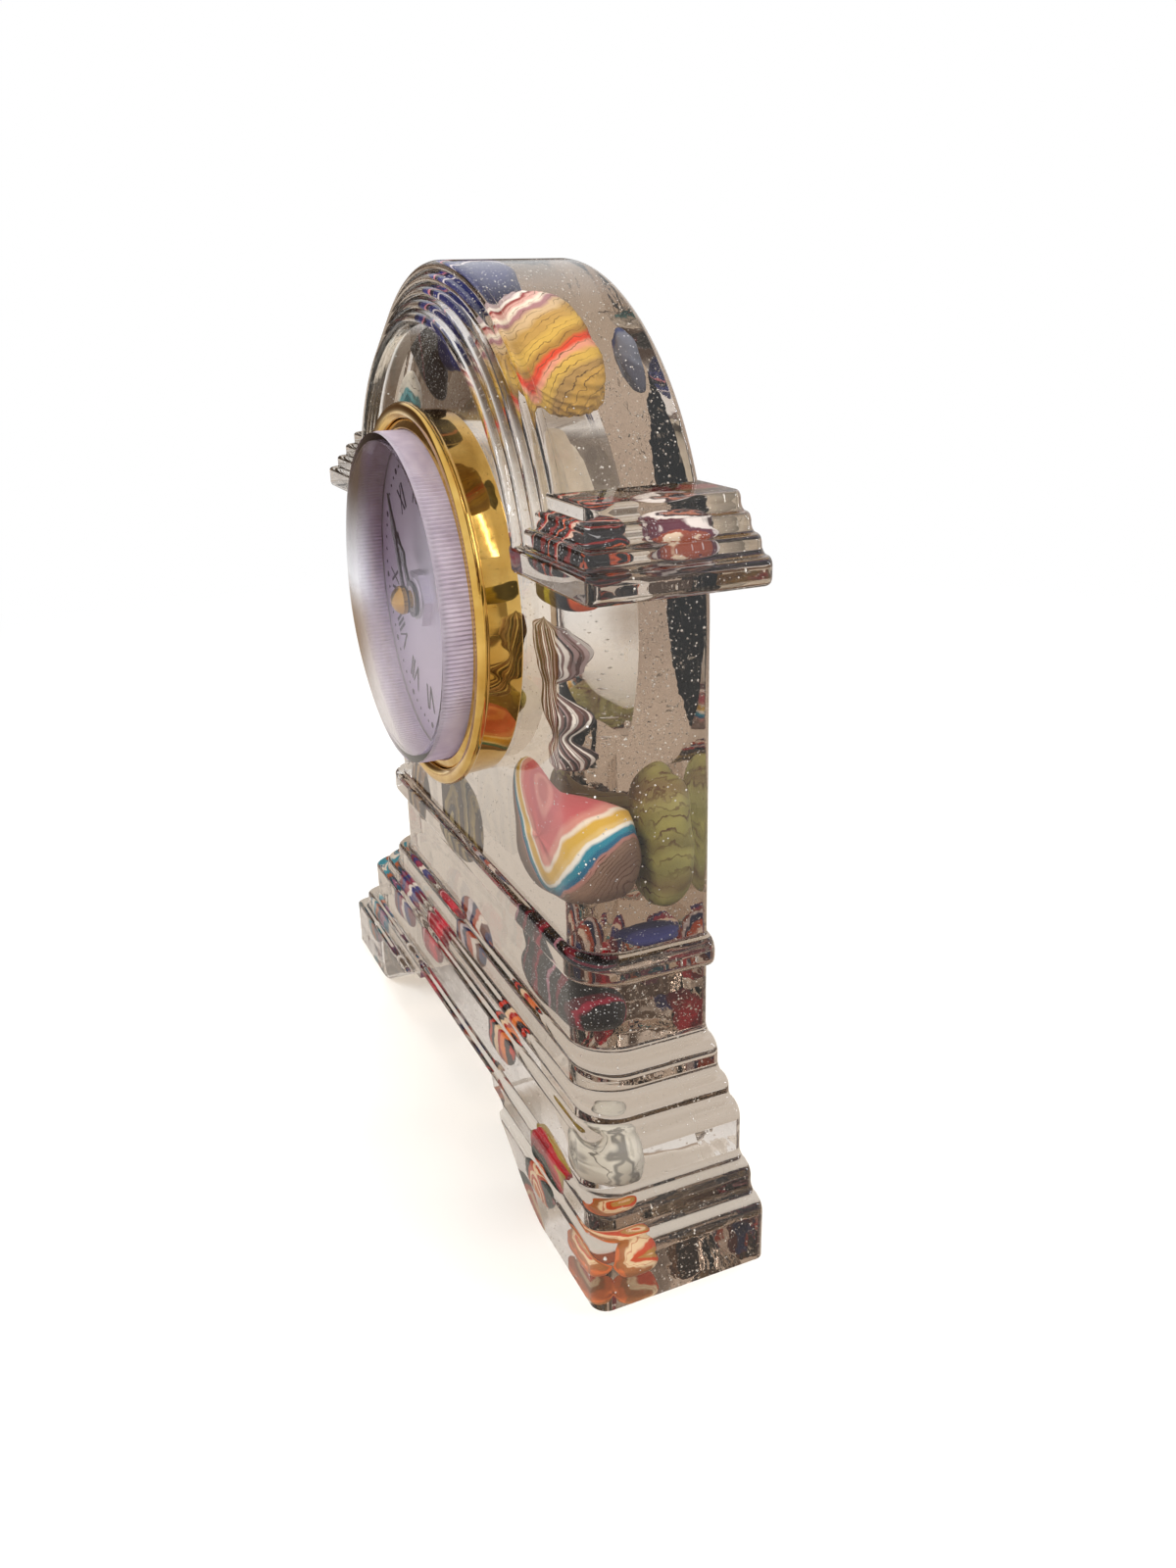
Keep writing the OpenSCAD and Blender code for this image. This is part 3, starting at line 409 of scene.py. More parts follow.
@dataclass(frozen=True)
class SwirledClay(Finish):
    """Polymer clay rolled from several colours: crisp bands that wander, some with glitter in them.

    The pattern runs from start over span, both in millimetres, or in turns for flutes. Slopes tilt the folded
    bands along x, y and z, and the last one is how steeply they drop to either side of the fold.
    """

    colours: tuple[str, ...] = ("FFFFFF",)
    widths: tuple[float, ...] = ()
    pattern: Pattern = Pattern.BANDS
    centre: Triple = (0, 0, 0)
    turn: Triple = (0, 0, 0)
    stretch: Triple = (1, 1, 1)
    start: float = -6.0
    span: float = 12.0
    repeats: bool = False
    warp: float = 1.2
    warp_size: float = 7.0
    soft: float = 0.25
    slopes: tuple[float, float, float, float] = (0.15, -0.9, 1.0, 1.3)
    fold_mm: float = 2.6
    flute_wander: float = 0.03
    vein: str = ""
    vein_mm: float = 1.4
    vein_share: float = 0.16
    vein_to: float = 1.0
    vein_wander: float = 1.6
    vein_noise_mm: float = 2.2
    glitter: float = 0.0
    glitter_colour: str = "E9ECF4"
    flake_mm: float = 0.42
    flake_reach: float = 0.31
    grain_mm: float = 0.9
    grain_bump: float = 0.35
    grain_depth: float = 0.0003
    roughness: float = 0.5
    specular: float = 0.2

    def stops(self) -> list[tuple[float, str]]:
        """Two stops a colour, so that a band is flat with a soft edge."""
        widths = np.asarray(self.widths or (1.0,) * len(self.colours), float)
        ends = np.cumsum(widths) / widths.sum()
        starts = ends - widths / widths.sum()
        soft = self.soft * (ends - starts) / 2
        result = []
        for colour, low, high, edge in zip(self.colours, starts, ends, soft):
            result += [(float(low + edge), colour), (float(high - edge), colour)]
        return result

    def measure(self, add: Adder, drawn: Node, noise: Node, chart: Feed) -> Feed:
        """How far along its pattern each point lies.

        Rings measure the distance from the centre, bands the way along x, and flutes the way round the
        piece's own map. A chevron is a slope less the way aside, rounded at its fold as the root of x squared
        plus the fold's size squared.

        Args:
            add: Adds a node to the material's tree.
            drawn: Bent and stretched place in millimetres.
            noise: Noise that makes flutes wander.
            chart: The piece's own map.

        Returns:
            The measure.
        """
        if self.pattern is Pattern.RINGS:
            return add("VectorMath", {"operation": "LENGTH"}, {0: drawn}).outputs["Value"]
        if self.pattern is Pattern.BANDS:
            return add("SeparateXYZ", links={0: drawn})
        if self.pattern is Pattern.FLUTES:
            around = add("SeparateXYZ", links={0: chart})
            return add("Math", {"operation": "MULTIPLY_ADD", 1: self.flute_wander}, {0: noise, 2: around})
        apart = add("SeparateXYZ", links={0: drawn})
        square = add("Math", {"operation": "MULTIPLY_ADD", 2: self.fold_mm ** 2}, {0: apart, 1: apart})
        aside = add("Math", {"operation": "SQRT"}, {0: square})
        folded = add("Math", {"operation": "MULTIPLY", 1: self.slopes[3]}, {0: aside})
        rise = add("VectorMath", {"operation": "DOT_PRODUCT", 1: self.slopes[:3]}, {0: drawn})
        return add("Math", {"operation": "SUBTRACT"}, {0: rise.outputs["Value"], 1: folded})

    def veined(self, add: Adder, local: Node, noise: Node, measure: Feed, share: Node, colour: Node) -> Feed:
        """Draws fine dark lines along the pattern, patchy and only up to a share of its span."""
        fine = add("TexNoise", {"Scale": 1 / self.vein_noise_mm, "Detail": 4.0}, {"Vector": local})
        wander = add("Math", {"operation": "MULTIPLY", 1: self.vein_wander}, {0: fine})
        count = add("Math", {"operation": "MULTIPLY_ADD", 1: 1 / self.vein_mm}, {0: measure, 2: wander})
        saw = add("Math", {"operation": "FRACT"}, {0: count})
        line = add("MapRange", {"From Min": self.vein_share, "From Max": self.vein_share / 2}, {"Value": saw})
        patches = fill_ramp(add("ValToRGB", links={0: noise}), [(0.35, "606060"), (0.6, "FFFFFF")])
        patchy = add("Math", {"operation": "MULTIPLY"}, {0: line, 1: patches})
        here = add("Math", {"operation": "LESS_THAN", 1: self.vein_to + 1e-4}, {0: share})
        both = add("Math", {"operation": "MULTIPLY"}, {0: patchy, 1: here})
        return add("Mix", {"data_type": "RGBA", 7: linear(self.vein)}, {0: both, 6: colour}).outputs[2]

    def glittered(self, add: Adder, local: Node, colour: Feed) -> Feed:
        """Strews bright flakes of random strength: round dots in a share of a Voronoi pattern's cells."""
        cells = add("TexVoronoi", {"Scale": 1 / self.flake_mm}, {"Vector": local})
        near = add("Math", {"operation": "LESS_THAN", 1: self.flake_reach}, {0: cells})
        picked = add("SeparateXYZ", links={0: cells.outputs["Color"]})
        few = add("Math", {"operation": "LESS_THAN", 1: self.glitter}, {0: picked})
        bright = add("Math", {"operation": "MULTIPLY"}, {0: near, 1: picked.outputs[1]})
        both = add("Math", {"operation": "MULTIPLY"}, {0: bright, 1: few})
        return add("Mix", {"data_type": "RGBA", 7: linear(self.glitter_colour)},
                   {0: both, 6: colour}).outputs[2]

    def nodes(self, add: Adder) -> dict[str, Node]:
        """Millimetre coordinates, bent by noise, measured by the pattern, and coloured by a ramp."""
        coordinates = add("TexCoord")
        local = add("Mapping", {"vector_type": "TEXTURE", "Location": tuple(c * MM for c in self.centre),
                                "Rotation": tuple(math.radians(a) for a in self.turn), "Scale": (MM, MM, MM)},
                    {"Vector": coordinates.outputs["Object"]})
        noise = add("TexNoise", {"Scale": 1 / self.warp_size, "Detail": 3.0, "Roughness": 0.45},
                    {"Vector": local})
        centred = add("VectorMath", {"operation": "SUBTRACT", 1: (0.5, 0.5, 0.5)},
                      {0: noise.outputs["Color"]})
        shift = add("VectorMath", {"operation": "SCALE", "Scale": 4 * self.warp}, {0: centred})
        bent = add("VectorMath", {"operation": "ADD"}, {0: local, 1: shift})
        drawn = add("VectorMath", {"operation": "MULTIPLY", 1: self.stretch}, {0: bent})
        measure = self.measure(add, drawn, noise, coordinates.outputs["UV"])
        share = add("MapRange", {"clamp": not self.repeats, "From Min": self.start,
                                 "From Max": self.start + self.span}, {"Value": measure})
        if self.repeats:
            share = add("Math", {"operation": "FRACT"}, {0: share})
        colour = fill_ramp(add("ValToRGB", links={0: share}), self.stops())
        if self.vein:
            colour = self.veined(add, local, noise, measure, share, colour)
        if self.glitter:
            colour = self.glittered(add, local, colour)
        fine = add("TexNoise", {"Scale": 1 / self.grain_mm, "Detail": 2.0}, {"Vector": local})
        bump = add("Bump", {"Strength": self.grain_bump, "Distance": self.grain_depth}, {"Height": fine})
        skin = {"Roughness": self.roughness, "Specular IOR Level": self.specular}
        return {"Surface": add("BsdfPrincipled", skin, {"Base Color": colour, "Normal": bump})}


@dataclass(frozen=True)
class ReededAcrylic(Finish):
    """Outside of the lens's wall: fine moulded reeds that scatter light to a pale lavender."""

    colour: str = "D6CADA"
    shade: str = "C3B6C8"
    roughness: float = 0.22
    ior: float = 1.49
    clear: float = 0.45
    mottle_mm: float = 4.0

    def nodes(self, add: Adder) -> dict[str, Node]:
        """Half clear, half milky skin."""
        tone = fill_ramp(add("ValToRGB", links={0: grain(add, self.mottle_mm, 2.0)}),
                         [(0.35, self.shade), (0.65, self.colour)])
        skin = {"Roughness": self.roughness, "IOR": self.ior, "Transmission Weight": self.clear}
        return {"Surface": add("BsdfPrincipled", skin, {"Base Color": tone})}


@dataclass(frozen=True)
class Plate(Finish):
    """Metal or metal plate: a bright mirror, or grained by brushing or turning."""

    colour: str
    shade: str
    roughness: float
    stretch: Triple = (1, 1, 1)
    grain_mm: float = 3.0
    gloss_spread: Pair = (0.7, 1.4)
    bump: float = 0.3
    bump_depth: float = 0.00002

    def nodes(self, add: Adder) -> dict[str, Node]:
        """A metal whose tone, roughness and skin follow one stretched noise."""
        noise = grain(add, self.grain_mm, 3.0, self.stretch)
        tone = fill_ramp(add("ValToRGB", links={0: noise}), [(0.3, self.shade), (0.7, self.colour)])
        smoothest, roughest = (self.roughness * share for share in self.gloss_spread)
        gloss = add("MapRange", {"To Min": smoothest, "To Max": roughest}, {"Value": noise})
        bump = add("Bump", {"Strength": self.bump, "Distance": self.bump_depth}, {"Height": noise})
        return {"Surface": add("BsdfPrincipled", {"Metallic": 1.0},
                               {"Base Color": tone, "Roughness": gloss, "Normal": bump})}


@dataclass(frozen=True)
class Moulding(Finish):
    """Moulded plastic, print or rubber: an even colour with a faint mottle and a fine skin."""

    colour: str
    shade: str
    roughness: float
    grain_mm: float = 1.5
    bump: float = 0.2
    bump_depth: float = 0.00005

    def nodes(self, add: Adder) -> dict[str, Node]:
        """Two close tones, and a bump as fine as the mould's texture."""
        noise = grain(add, self.grain_mm, 4.0)
        tone = fill_ramp(add("ValToRGB", links={0: noise}), [(0.35, self.shade), (0.65, self.colour)])
        bump = add("Bump", {"Strength": self.bump, "Distance": self.bump_depth}, {"Height": noise})
        return {"Surface": add("BsdfPrincipled", {"Roughness": self.roughness},
                               {"Base Color": tone, "Normal": bump})}


# Plated brass: the bezel is polished to a mirror, the ring inside it spreads its highlights a little.
GOLD = Plate("gold_plate_polished", "E2BD6C", "C99C48", 0.05, grain_mm=6.0)
GOLD_SATIN = Plate("gold_plate_ring", "E8C474", "D2A546", 0.16, grain_mm=2.0)
# Silvered dial: pale, with a faint brushing along its height.
SILVERED = Plate("silvered_dial_satin", "F4F0F5", "E8E3EC", 0.42, stretch=(1, 1, 6), grain_mm=1.2)
# Turned brass shows fine tool marks, brushed steel a grain along one axis, sintered magnet a dull speckle.
BRASS = Plate("turned_brass", "DDB868", "C49B48", 0.25, stretch=(1, 8, 1), grain_mm=1.0)
STEEL = Plate("brushed_steel", "C6C6CA", "A9A9AE", 0.3, stretch=(1, 1, 10), grain_mm=0.8)
MAGNET = Plate("sintered_magnet", "6B6B72", "55555B", 0.5, grain_mm=0.4)
# Enamelled wire: the stretched noise stands for turns of wire, drawn coarser than real ones so that it shows.
COPPER = Plate("enamelled_copper_wire", "C56A32", "8E4418", 0.3, stretch=(8, 1, 1), grain_mm=1.2)
# Moulded ABS has a soft sheen, rubber is duller, and acetal is a little waxy.
CREAM_PLASTIC = Moulding("cream_abs_moulded", "EFEBE0", "E4DFD2", 0.4)
CREAM_RUBBER = Moulding("cream_rubber_moulded", "E3DFD2", "D5D0C2", 0.65)
GREY_PLASTIC = Moulding("grey_abs_moulded", "D2D1CC", "C3C2BC", 0.45)
ACETAL = Moulding("white_acetal_moulded", "EFECE0", "E2DED0", 0.35)
# Screen-printed ink is matt, enamel on the hands is glossy.
INK = Moulding("dial_ink_printed", "2A2530", "211D27", 0.5, grain_mm=0.3)
HAND_BLACK = Moulding("hand_black_enamel", "1D1B22", "141318", 0.2)
# A cured drop of epoxy is glossy black, and solder mask gives the laminate a glossy green.
BLACK_PLASTIC = Moulding("black_epoxy_drop", "17171A", "101012", 0.3)
BOARD = Moulding("green_board_laminate", "1E6A3C", "18582F", 0.35)
RESIN = CastResin("clear_cast_resin")
# Moulded acrylic with a lavender cast, glossy as new: its waves are too faint to see but in its highlights.
LENS_ACRYLIC = ClearSolid("lavender_acrylic_lens", "F7F3FA", "E6DEF0", 1.49, (0.74, 0.65, 0.80), 13.0,
                          wave_mm=1000 / 120, wave=0.1, wave_depth=0.00005)
REEDED_WALL = ReededAcrylic("reeded_acrylic_wall")
# Bubbles are opaque half-metal balls whose white base is a painted highlight.
AIR = AirBubble("air_in_resin")


# The resin case

@dataclass(frozen=True)
class Step:
    """One layer of the case: how far it stands out from the body, its top, and its front corners' radius."""

    side: float
    front: float
    top: float
    corner: float


@dataclass
class ResinCase:
    """The one-piece casting: stepped plinth, body with a waist band, cornice, hood and round top.

    A crest or a valley of the plinth is rounded by the smaller of two shares: of the layer's rise, and of the
    ledge beside it. Noses and roots of the band and the cornice, and the cornice's under edge and top edge,
    have a rounding at the side and one at the front. The hood's ribs have a gap and a bulge given as shares
    of a rib's width.
    """

    plinth: tuple[Step, ...] = (Step(20.9, 8.6, 11.5, 3), Step(16.8, 6.95, 16.2, 4.5),
                                Step(12.7, 5.3, 26.2, 6), Step(8.6, 3.65, 29.4, 7.5), Step(4.5, 2.0, 35.0, 9))
    band: Step = Step(3.0, 1.8, 55.0, 9)
    band_low: float = 49.5
    body_corner: float = 8.5
    cornice: tuple[Step, ...] = (Step(18.3, 5.8, 124.9, 1.8), Step(15.2, 4.4, 127.7, 1.8),
                                 Step(12.1, 3.0, 130.5, 1.8), Step(9.0, 1.6, 133.3, 1.8))
    cornice_low: float = 120.5
    hood_r: float = 45.9
    hood_out: float = 5.8
    hood_edge_out: float = 1.3
    ribs: int = 5
    pocket_r: float = 32.5
    pocket_depth: float = 18.0
    gap_top_w: float = 47.0
    gap_h: float = 15.2
    gap_shoulder: float = 12.8
    gap_foot_w: float = 108.0
    rear_round: float = 1.6
    arc_steps: int = 7
    crest: Pair = (0.45, 0.55)
    valley: Pair = (0.35, 0.4)
    nose: Pair = (1.38, 0.8)
    nose_share: float = 0.49
    root: Pair = (1.5, 0.5)
    under_edge: Pair = (1.5, 0.8)
    top_edge: Pair = (1.3, 0.7)
    band_nose: Pair = (2.3, 1.4)
    band_root: Pair = (0.5, 0.3)
    rib_gap: float = 0.02
    rib_bulge: float = 0.42
    blunt: float = 0.25
    foot_cutter_y: Pair = (-14.0, 23.0)
    cutter_start: Pair = (-20.0, -12.0)

    def rings(self, side: np.ndarray, front: np.ndarray, corner: np.ndarray) -> np.ndarray:
        """Plan outlines for a stack.

        Each outline is a rectangle with rounded corners. Round a front corner the height passes from that of
        the front profile to that of the side profile by the square of the cosine of the turn.

        Args:
            side: Half width and height at the side, for each level.
            front: Front line and height at the front, for each level.
            corner: Radius of the front corners, for each level.

        Returns:
            Points by level and place round the outline.
        """
        parts = []
        for turn, sign_x, is_front in ((-90, 1, True), (0, 1, False), (90, -1, False), (180, -1, True)):
            a = np.radians(np.linspace(turn, turn + 90, 17 if is_front else 5))[None, :]
            radius = corner[:, None] if is_front else np.full((len(corner), 1), self.rear_round)
            centre_x = sign_x * (side[:, :1] - radius)
            centre_y = front[:, :1] + radius if is_front else BACK_Y - radius
            share = np.cos(a) ** 2 if is_front else np.ones_like(a)
            z = side[:, 1:2] * share + front[:, 1:2] * (1 - share)
            parts.append(np.stack([centre_x + radius * np.cos(a), centre_y + radius * np.sin(a), z], -1))
        return np.concatenate(parts, 1)

    def stack(self, name: str, corners: list[tuple[float, float, float, float]],
              convex: list[Pair], tail: np.ndarray | None = None) -> Object:
        """Lofts a stack of layers from its corner points.

        Args:
            name: Name of the solid.
            corners: Side reach, front reach, height and plan radius at each corner of the profile.
            convex: Rounding of each corner at the side and at the front.
            tail: More levels on top, as half width and height.

        Returns:
            The closed solid.
        """
        table = np.array(corners, float)
        cuts = np.array(convex, float)
        side = rounded_path(table[:, [0, 2]], cuts[:, 0], self.arc_steps)
        front = rounded_path(table[:, [1, 2]], cuts[:, 1], self.arc_steps)
        level = np.interp(np.arange(len(side)), np.linspace(0, len(side) - 1, len(table)), table[:, 3])
        side[:, 0] += BODY_R
        front[:, 0] = FRONT_Y - front[:, 0]
        if tail is not None:
            side = np.vstack([side, tail])
            front = np.vstack([front, np.column_stack([np.full(len(tail), FRONT_Y), tail[:, 1]])])
            level = np.concatenate([level, np.full(len(tail), level[-1])])
        return loft(name, self.rings(side, front, level))

    def body(self) -> Object:
        """Plinth, body and waist band up to just inside the cornice."""
        first = self.plinth[0]
        corners = [(first.side, first.front, 0.0, first.corner)]
        cuts = [(0.0, 0.0)]
        low = 0.0
        for here, above in zip(self.plinth, (*self.plinth[1:], Step(0, 0, self.band_low, self.body_corner))):
            ledges = (here.side - above.side, here.front - above.front)
            corners += [(here.side, here.front, here.top, here.corner),
                        (above.side, above.front, here.top, above.corner)]
            for rise, shares in ((here.top - low, self.crest), (above.top - here.top, self.valley)):
                cuts.append(tuple(min(shares[0] * rise, shares[1] * ledge) for ledge in ledges))
            low = here.top
        band = [(0.0, 0.0, self.body_corner), (self.band.side, self.band.front, self.band.corner)]
        for z, order in ((self.band_low, 1), (self.band.top, -1)):
            corners += [(side, front, z, corner) for side, front, corner in band[::order]]
            cuts += [self.band_root, self.band_nose][::order]
        corners.append((0.0, 0.0, ARCH_Z - 1, self.body_corner))
        cuts.append((0.0, 0.0))
        z = np.linspace(ARCH_Z, self.cornice_low + 1.5, 7)
        tail = np.column_stack([np.sqrt(BODY_R ** 2 - (z - ARCH_Z) ** 2), z])
        return self.stack("case_body", corners, cuts, tail)

    def arcs(self, radius: np.ndarray, level: float, steps: int) -> tuple[np.ndarray, np.ndarray]:
        """Arcs about the round top's centre with both ends on one level.

        Args:
            radius: Radius of each arc.
            level: Height of the ends.
            steps: Points on each arc.

        Returns:
            The x and the z of each point, by arc and step.
        """
        start = np.arcsin((level - ARCH_Z) / radius)[:, None]
        a = start + (np.pi - 2 * start) * np.linspace(0, 1, steps)[None, :]
        return radius[:, None] * np.cos(a), ARCH_Z + radius[:, None] * np.sin(a)

    def top(self) -> Object:
        """Round top: half discs set one behind the other, with the rear edge rounded by a quarter circle."""
        turn = np.linspace(0, np.pi / 2, 8)
        depth = [[FRONT_Y, FRONT_Y + self.blunt], BACK_Y - self.rear_round * (1 - np.sin(turn))]
        radius = [[BODY_R - self.blunt, BODY_R], BODY_R - self.rear_round * (1 - np.cos(turn))]
        x, z = self.arcs(np.concatenate(radius), self.cornice_low + 0.5, 181)
        y = np.broadcast_to(np.concatenate(depth)[:, None], x.shape)
        return loft("case_top", np.stack([x, y, z], -1))

    def hood(self) -> Object:
        """Ribbed arch: the rib profile carried along arcs that end level inside the cornice."""
        rib = (BODY_R - self.hood_r) / self.ribs
        across = np.linspace(0, 1, 12)
        bead = np.sqrt(np.clip(1 - (2 * across - 1) ** 2, 0, 1)) - 1
        radius, out = [], []
        for i in range(self.ribs):
            crest = self.hood_out - i * (self.hood_out - self.hood_edge_out) / (self.ribs - 1)
            radius.append(self.hood_r + rib * (i + self.rib_gap + (1 - 2 * self.rib_gap) * across))
            out.append(crest + bead * rib * self.rib_bulge)
        radius = np.concatenate([[self.hood_r], *radius, [BODY_R - 0.02]])
        out = np.concatenate([[-1.0], *out, [-1.0]])
        x, z = self.arcs(radius, self.cornice_low + 0.3, 161)
        y = np.broadcast_to(FRONT_Y - out[:, None], x.shape)
        return loft("case_hood", np.stack([x, y, z], -1).swapaxes(0, 1), 60.0)

    def cornice_solid(self) -> Object:
        """Four bull-nosed layers, widest at the bottom, whose flat ends lie inside the case."""
        first = self.cornice[0]
        corners = [(first.side - 3, first.front - 1, self.cornice_low, first.corner),
                   (first.side, first.front, self.cornice_low, first.corner)]
        cuts = [(0.0, 0.0), self.under_edge]
        low = self.cornice_low
        for here, above in zip(self.cornice, self.cornice[1:]):
            rise = here.top - low
            corners += [(here.side, here.front, here.top, here.corner),
                        (above.side, above.front, here.top, above.corner)]
            cuts += [(min(self.nose[0], self.nose_share * rise), self.nose[1]), self.root]
            low = here.top
        last = self.cornice[-1]
        corners += [(last.side, last.front, last.top, last.corner),
                    (last.side - 5, last.front - 1.5, last.top, last.corner)]
        cuts += [self.top_edge, (0.0, 0.0)]
        return self.stack("case_cornice", corners, cuts)

    def cylinder(self, name: str, radius: float, z: float, near: float, far: float) -> Object:
        """Round cutter along the depth of the case."""
        a = full_turn(256)
        x, z = radius * np.cos(a), z + radius * np.sin(a)
        return loft(name, np.stack([np.column_stack([x, np.full_like(x, y), z]) for y in (near, far)]))

    def foot_gap(self) -> Object:
        """Cutter for the gap between the feet: flat top, then half a cosine wave down to each foot."""
        share = np.linspace(0, 1, 40)
        shoulder = self.gap_top_w / 2 + 1
        x = shoulder + (self.gap_foot_w / 2 - shoulder) * share
        z = self.gap_shoulder * (1 + np.cos(np.pi * share)) / 2
        right = np.column_stack([np.concatenate([[self.gap_top_w / 2], x, [x[-1]]]),
                                 np.concatenate([[self.gap_h], z, [-1.0]])])
        outline = np.vstack([right, right[::-1] * [-1, 1]])
        rings = np.stack([np.column_stack([outline[:, 0], np.full(len(outline), y), outline[:, 1]])
                          for y in self.foot_cutter_y])
        return loft("gap_cutter", rings)

    def build(self) -> Object:
        """Joins the parts of the casting and cuts its openings."""
        hollow = self.cylinder("hood_cutter", self.hood_r, ARCH_Z, self.cutter_start[0], FRONT_Y + 0.4)
        pocket = self.cylinder("pocket_cutter", self.pocket_r, DIAL_Z, self.cutter_start[1],
                               FRONT_Y + self.pocket_depth)
        head = combine(self.hood(), self.cornice_solid(), Join.ADD)
        head = combine(head, hollow, Join.CUT)
        case = combine(self.body(), self.top(), Join.ADD)
        case = combine(case, head, Join.ADD)
        case = combine(case, pocket, Join.CUT)
        case = combine(case, self.foot_gap(), Join.CUT)
        case.name = "resin_casting"
        smooth(case, 35.0)
        even = case.modifiers.new("even_shading", "WEIGHTED_NORMAL")
        even.keep_sharp = True
        RESIN.put_on(case)
        return hand_over(case, "case", "resin_case")


# Clay chips cast into the resin

@dataclass(frozen=True)
class Chip:
    """A lump of swirled clay: place and size in millimetres, its depth counted from the front face."""

    node: str
    place: Triple
    size: Triple
    clay: SwirledClay
    turn: float = 0.0
    lobes: int = 3
    lobe_depth: float = 0.12
    crumple: float = 0.05
    ridges: int = 0
    ridge_depth: float = 0.0

    def surface(self) -> np.ndarray:
        """Superellipsoid with a lobed outline.

        The outline's radius is a squircle less a cosine for the lobes. Waves in both directions crumple it,
        and ridges run across it as rectified sines.

        Returns:
            Points by latitude and longitude.
        """
        phase = np.random.default_rng(len(self.node) * 7 + int(self.size[0])).uniform(0, 2 * np.pi, 8)
        u = full_turn(96)[None, :]
        v = np.linspace(-np.pi / 2, np.pi / 2, 41)[:, None]
        outline = (np.abs(np.cos(u)) ** 3 + np.abs(np.sin(u)) ** 3) ** (-1 / 3)
        outline = outline * (1 - self.lobe_depth * (1 - np.cos(self.lobes * u)) / 2)
        flat = np.abs(np.cos(v)) ** 0.6
        thick = np.sign(np.sin(v)) * np.abs(np.sin(v)) ** 0.85
        waves = (np.sin(3 * u + 2 * v + phase[0]) + 0.7 * np.sin(5 * u - 3 * v + phase[1])
                 + 0.5 * np.sin(8 * u + phase[2]) * np.sin(4 * v + phase[3]))
        swell = 1 + self.crumple * (waves - 1.2) / 2.2
        ridge = np.abs(np.sin(self.ridges * (u + 0.3 * np.sin(v)) / 2)) * np.abs(np.cos(v))
        swell = swell - self.ridge_depth * ridge
        wide, deep, high = self.size
        reach = outline * flat * swell / 2
        a, b = wide * reach * np.cos(u), high * reach * np.sin(u)
        y = np.broadcast_to(deep / 2 * thick * swell, a.shape)
        c, s = math.cos(math.radians(self.turn)), math.sin(math.radians(self.turn))
        x0, y0, z0 = self.place
        return np.stack([x0 + a * c - b * s, FRONT_Y + y0 + y, z0 + a * s + b * c], -1)

    def mesh_piece(self, name: str) -> Object:
        """Meshes the lump's surface; its poles close as their points merge."""
        points = self.surface()
        return make_piece(name, points, grid_faces(*points.shape[:2]).tolist(), 70.0)

    def build(self) -> Object:
        """Makes the lump, gives it its clay and hands it to the case."""
        piece = self.mesh_piece(self.node + "_clay_lump")
        self.clay.put_on(piece)
        return hand_over(piece, "case", self.node)


@dataclass(frozen=True)
class Ribbon(Chip):
    """A fluted ribbon of clay, fanned at the top, drawn to a waist and ending in a rolled ball.

    Depths are shares of the section. Lean is how far the flutes' phase runs on over the height, and the
    split's width is an angle, both in radians.
    """

    flutes: int = 20
    flute_depth: float = 0.11
    flute_lean: float = 2.5
    split_depth: float = 0.42
    split_width: float = 0.28

    def surface(self) -> np.ndarray:
        """Section carried up the ribbon's height.

        The section is an ellipse with rectified sine flutes, and above the waist one bell-shaped groove that
        splits it. Its half width, half depth, shifts and turn are eased between knots along the height.

        Returns:
            Points by height and place round the section.
        """
        t = np.linspace(0, 1, 121)
        knots = [0, 0.06, 0.14, 0.24, 0.4, 0.57, 0.7, 0.82, 0.94, 1.0]
        wide = eased(t, knots, [0.1, 2.7, 3.1, 1.5, 3.9, 2.5, 4.2, 5.2, 4.6, 0.3])[:, None]
        deep = eased(t, knots, [0.1, 2.6, 3.2, 1.3, 3.9, 2.3, 4.3, 5.1, 4.2, 0.2])[:, None]
        shift = eased(t, [0, 0.12, 0.3, 0.5, 0.75, 1.0], [0.6, 1.0, 1.2, -0.4, -0.2, -1.0])
        sideways = eased(t, [0, 0.14, 0.4, 0.57, 0.8, 1.0], [1.1, 1.5, 0.7, -0.1, -0.2, -1.1])
        twist = np.radians(eased(t, [0, 0.2, 0.5, 1.0], [40, -10, 15, -12]))
        u = full_turn(182)[None, :]
        t = t[:, None]
        flute = 1 - self.flute_depth * np.abs(np.sin(self.flutes * u / 2 + self.flute_lean * t))
        away = (np.mod(u + 0.9 - 0.5 * t + np.pi, 2 * np.pi) - np.pi) / self.split_width
        flute = flute * (1 - self.split_depth * np.exp(-away ** 2) * np.clip(t * 4 - 1.6, 0, 1))
        a, b = wide * np.cos(u) * flute, deep * np.sin(u) * flute
        c, s = np.cos(twist)[:, None], np.sin(twist)[:, None]
        x0, y0, z0 = self.place
        x = x0 + shift[:, None] + a * c - b * s
        y = FRONT_Y + y0 + sideways[:, None] + a * s + b * c
        return np.stack([x, y, np.broadcast_to(z0 + self.size[0] * (t - 0.5), x.shape)], -1)

    def mesh_piece(self, name: str) -> Object:
        """Meshes the ribbon with a map that runs round and along it."""
        points = self.surface()
        rows, columns = points.shape[:2]
        mesh = new_mesh(name, points, capped_faces(rows, columns))
        first = grid_faces(rows, columns)[:, :1]
        over = np.array([[0, 0], [1, 0], [1, 1], [0, 1]])
        uv = np.stack([(first % columns + over[:, 0]) / columns, (first // columns + over[:, 1]) / rows], -1)
        uv = np.vstack([uv.reshape(-1, 2), np.zeros((2 * columns, 2))])
        mesh.uv_layers.new(name="round_and_along").data.foreach_set("uv", uv.ravel())
        piece = add_object(name, mesh)
        smooth(piece, 75.0)
        return piece


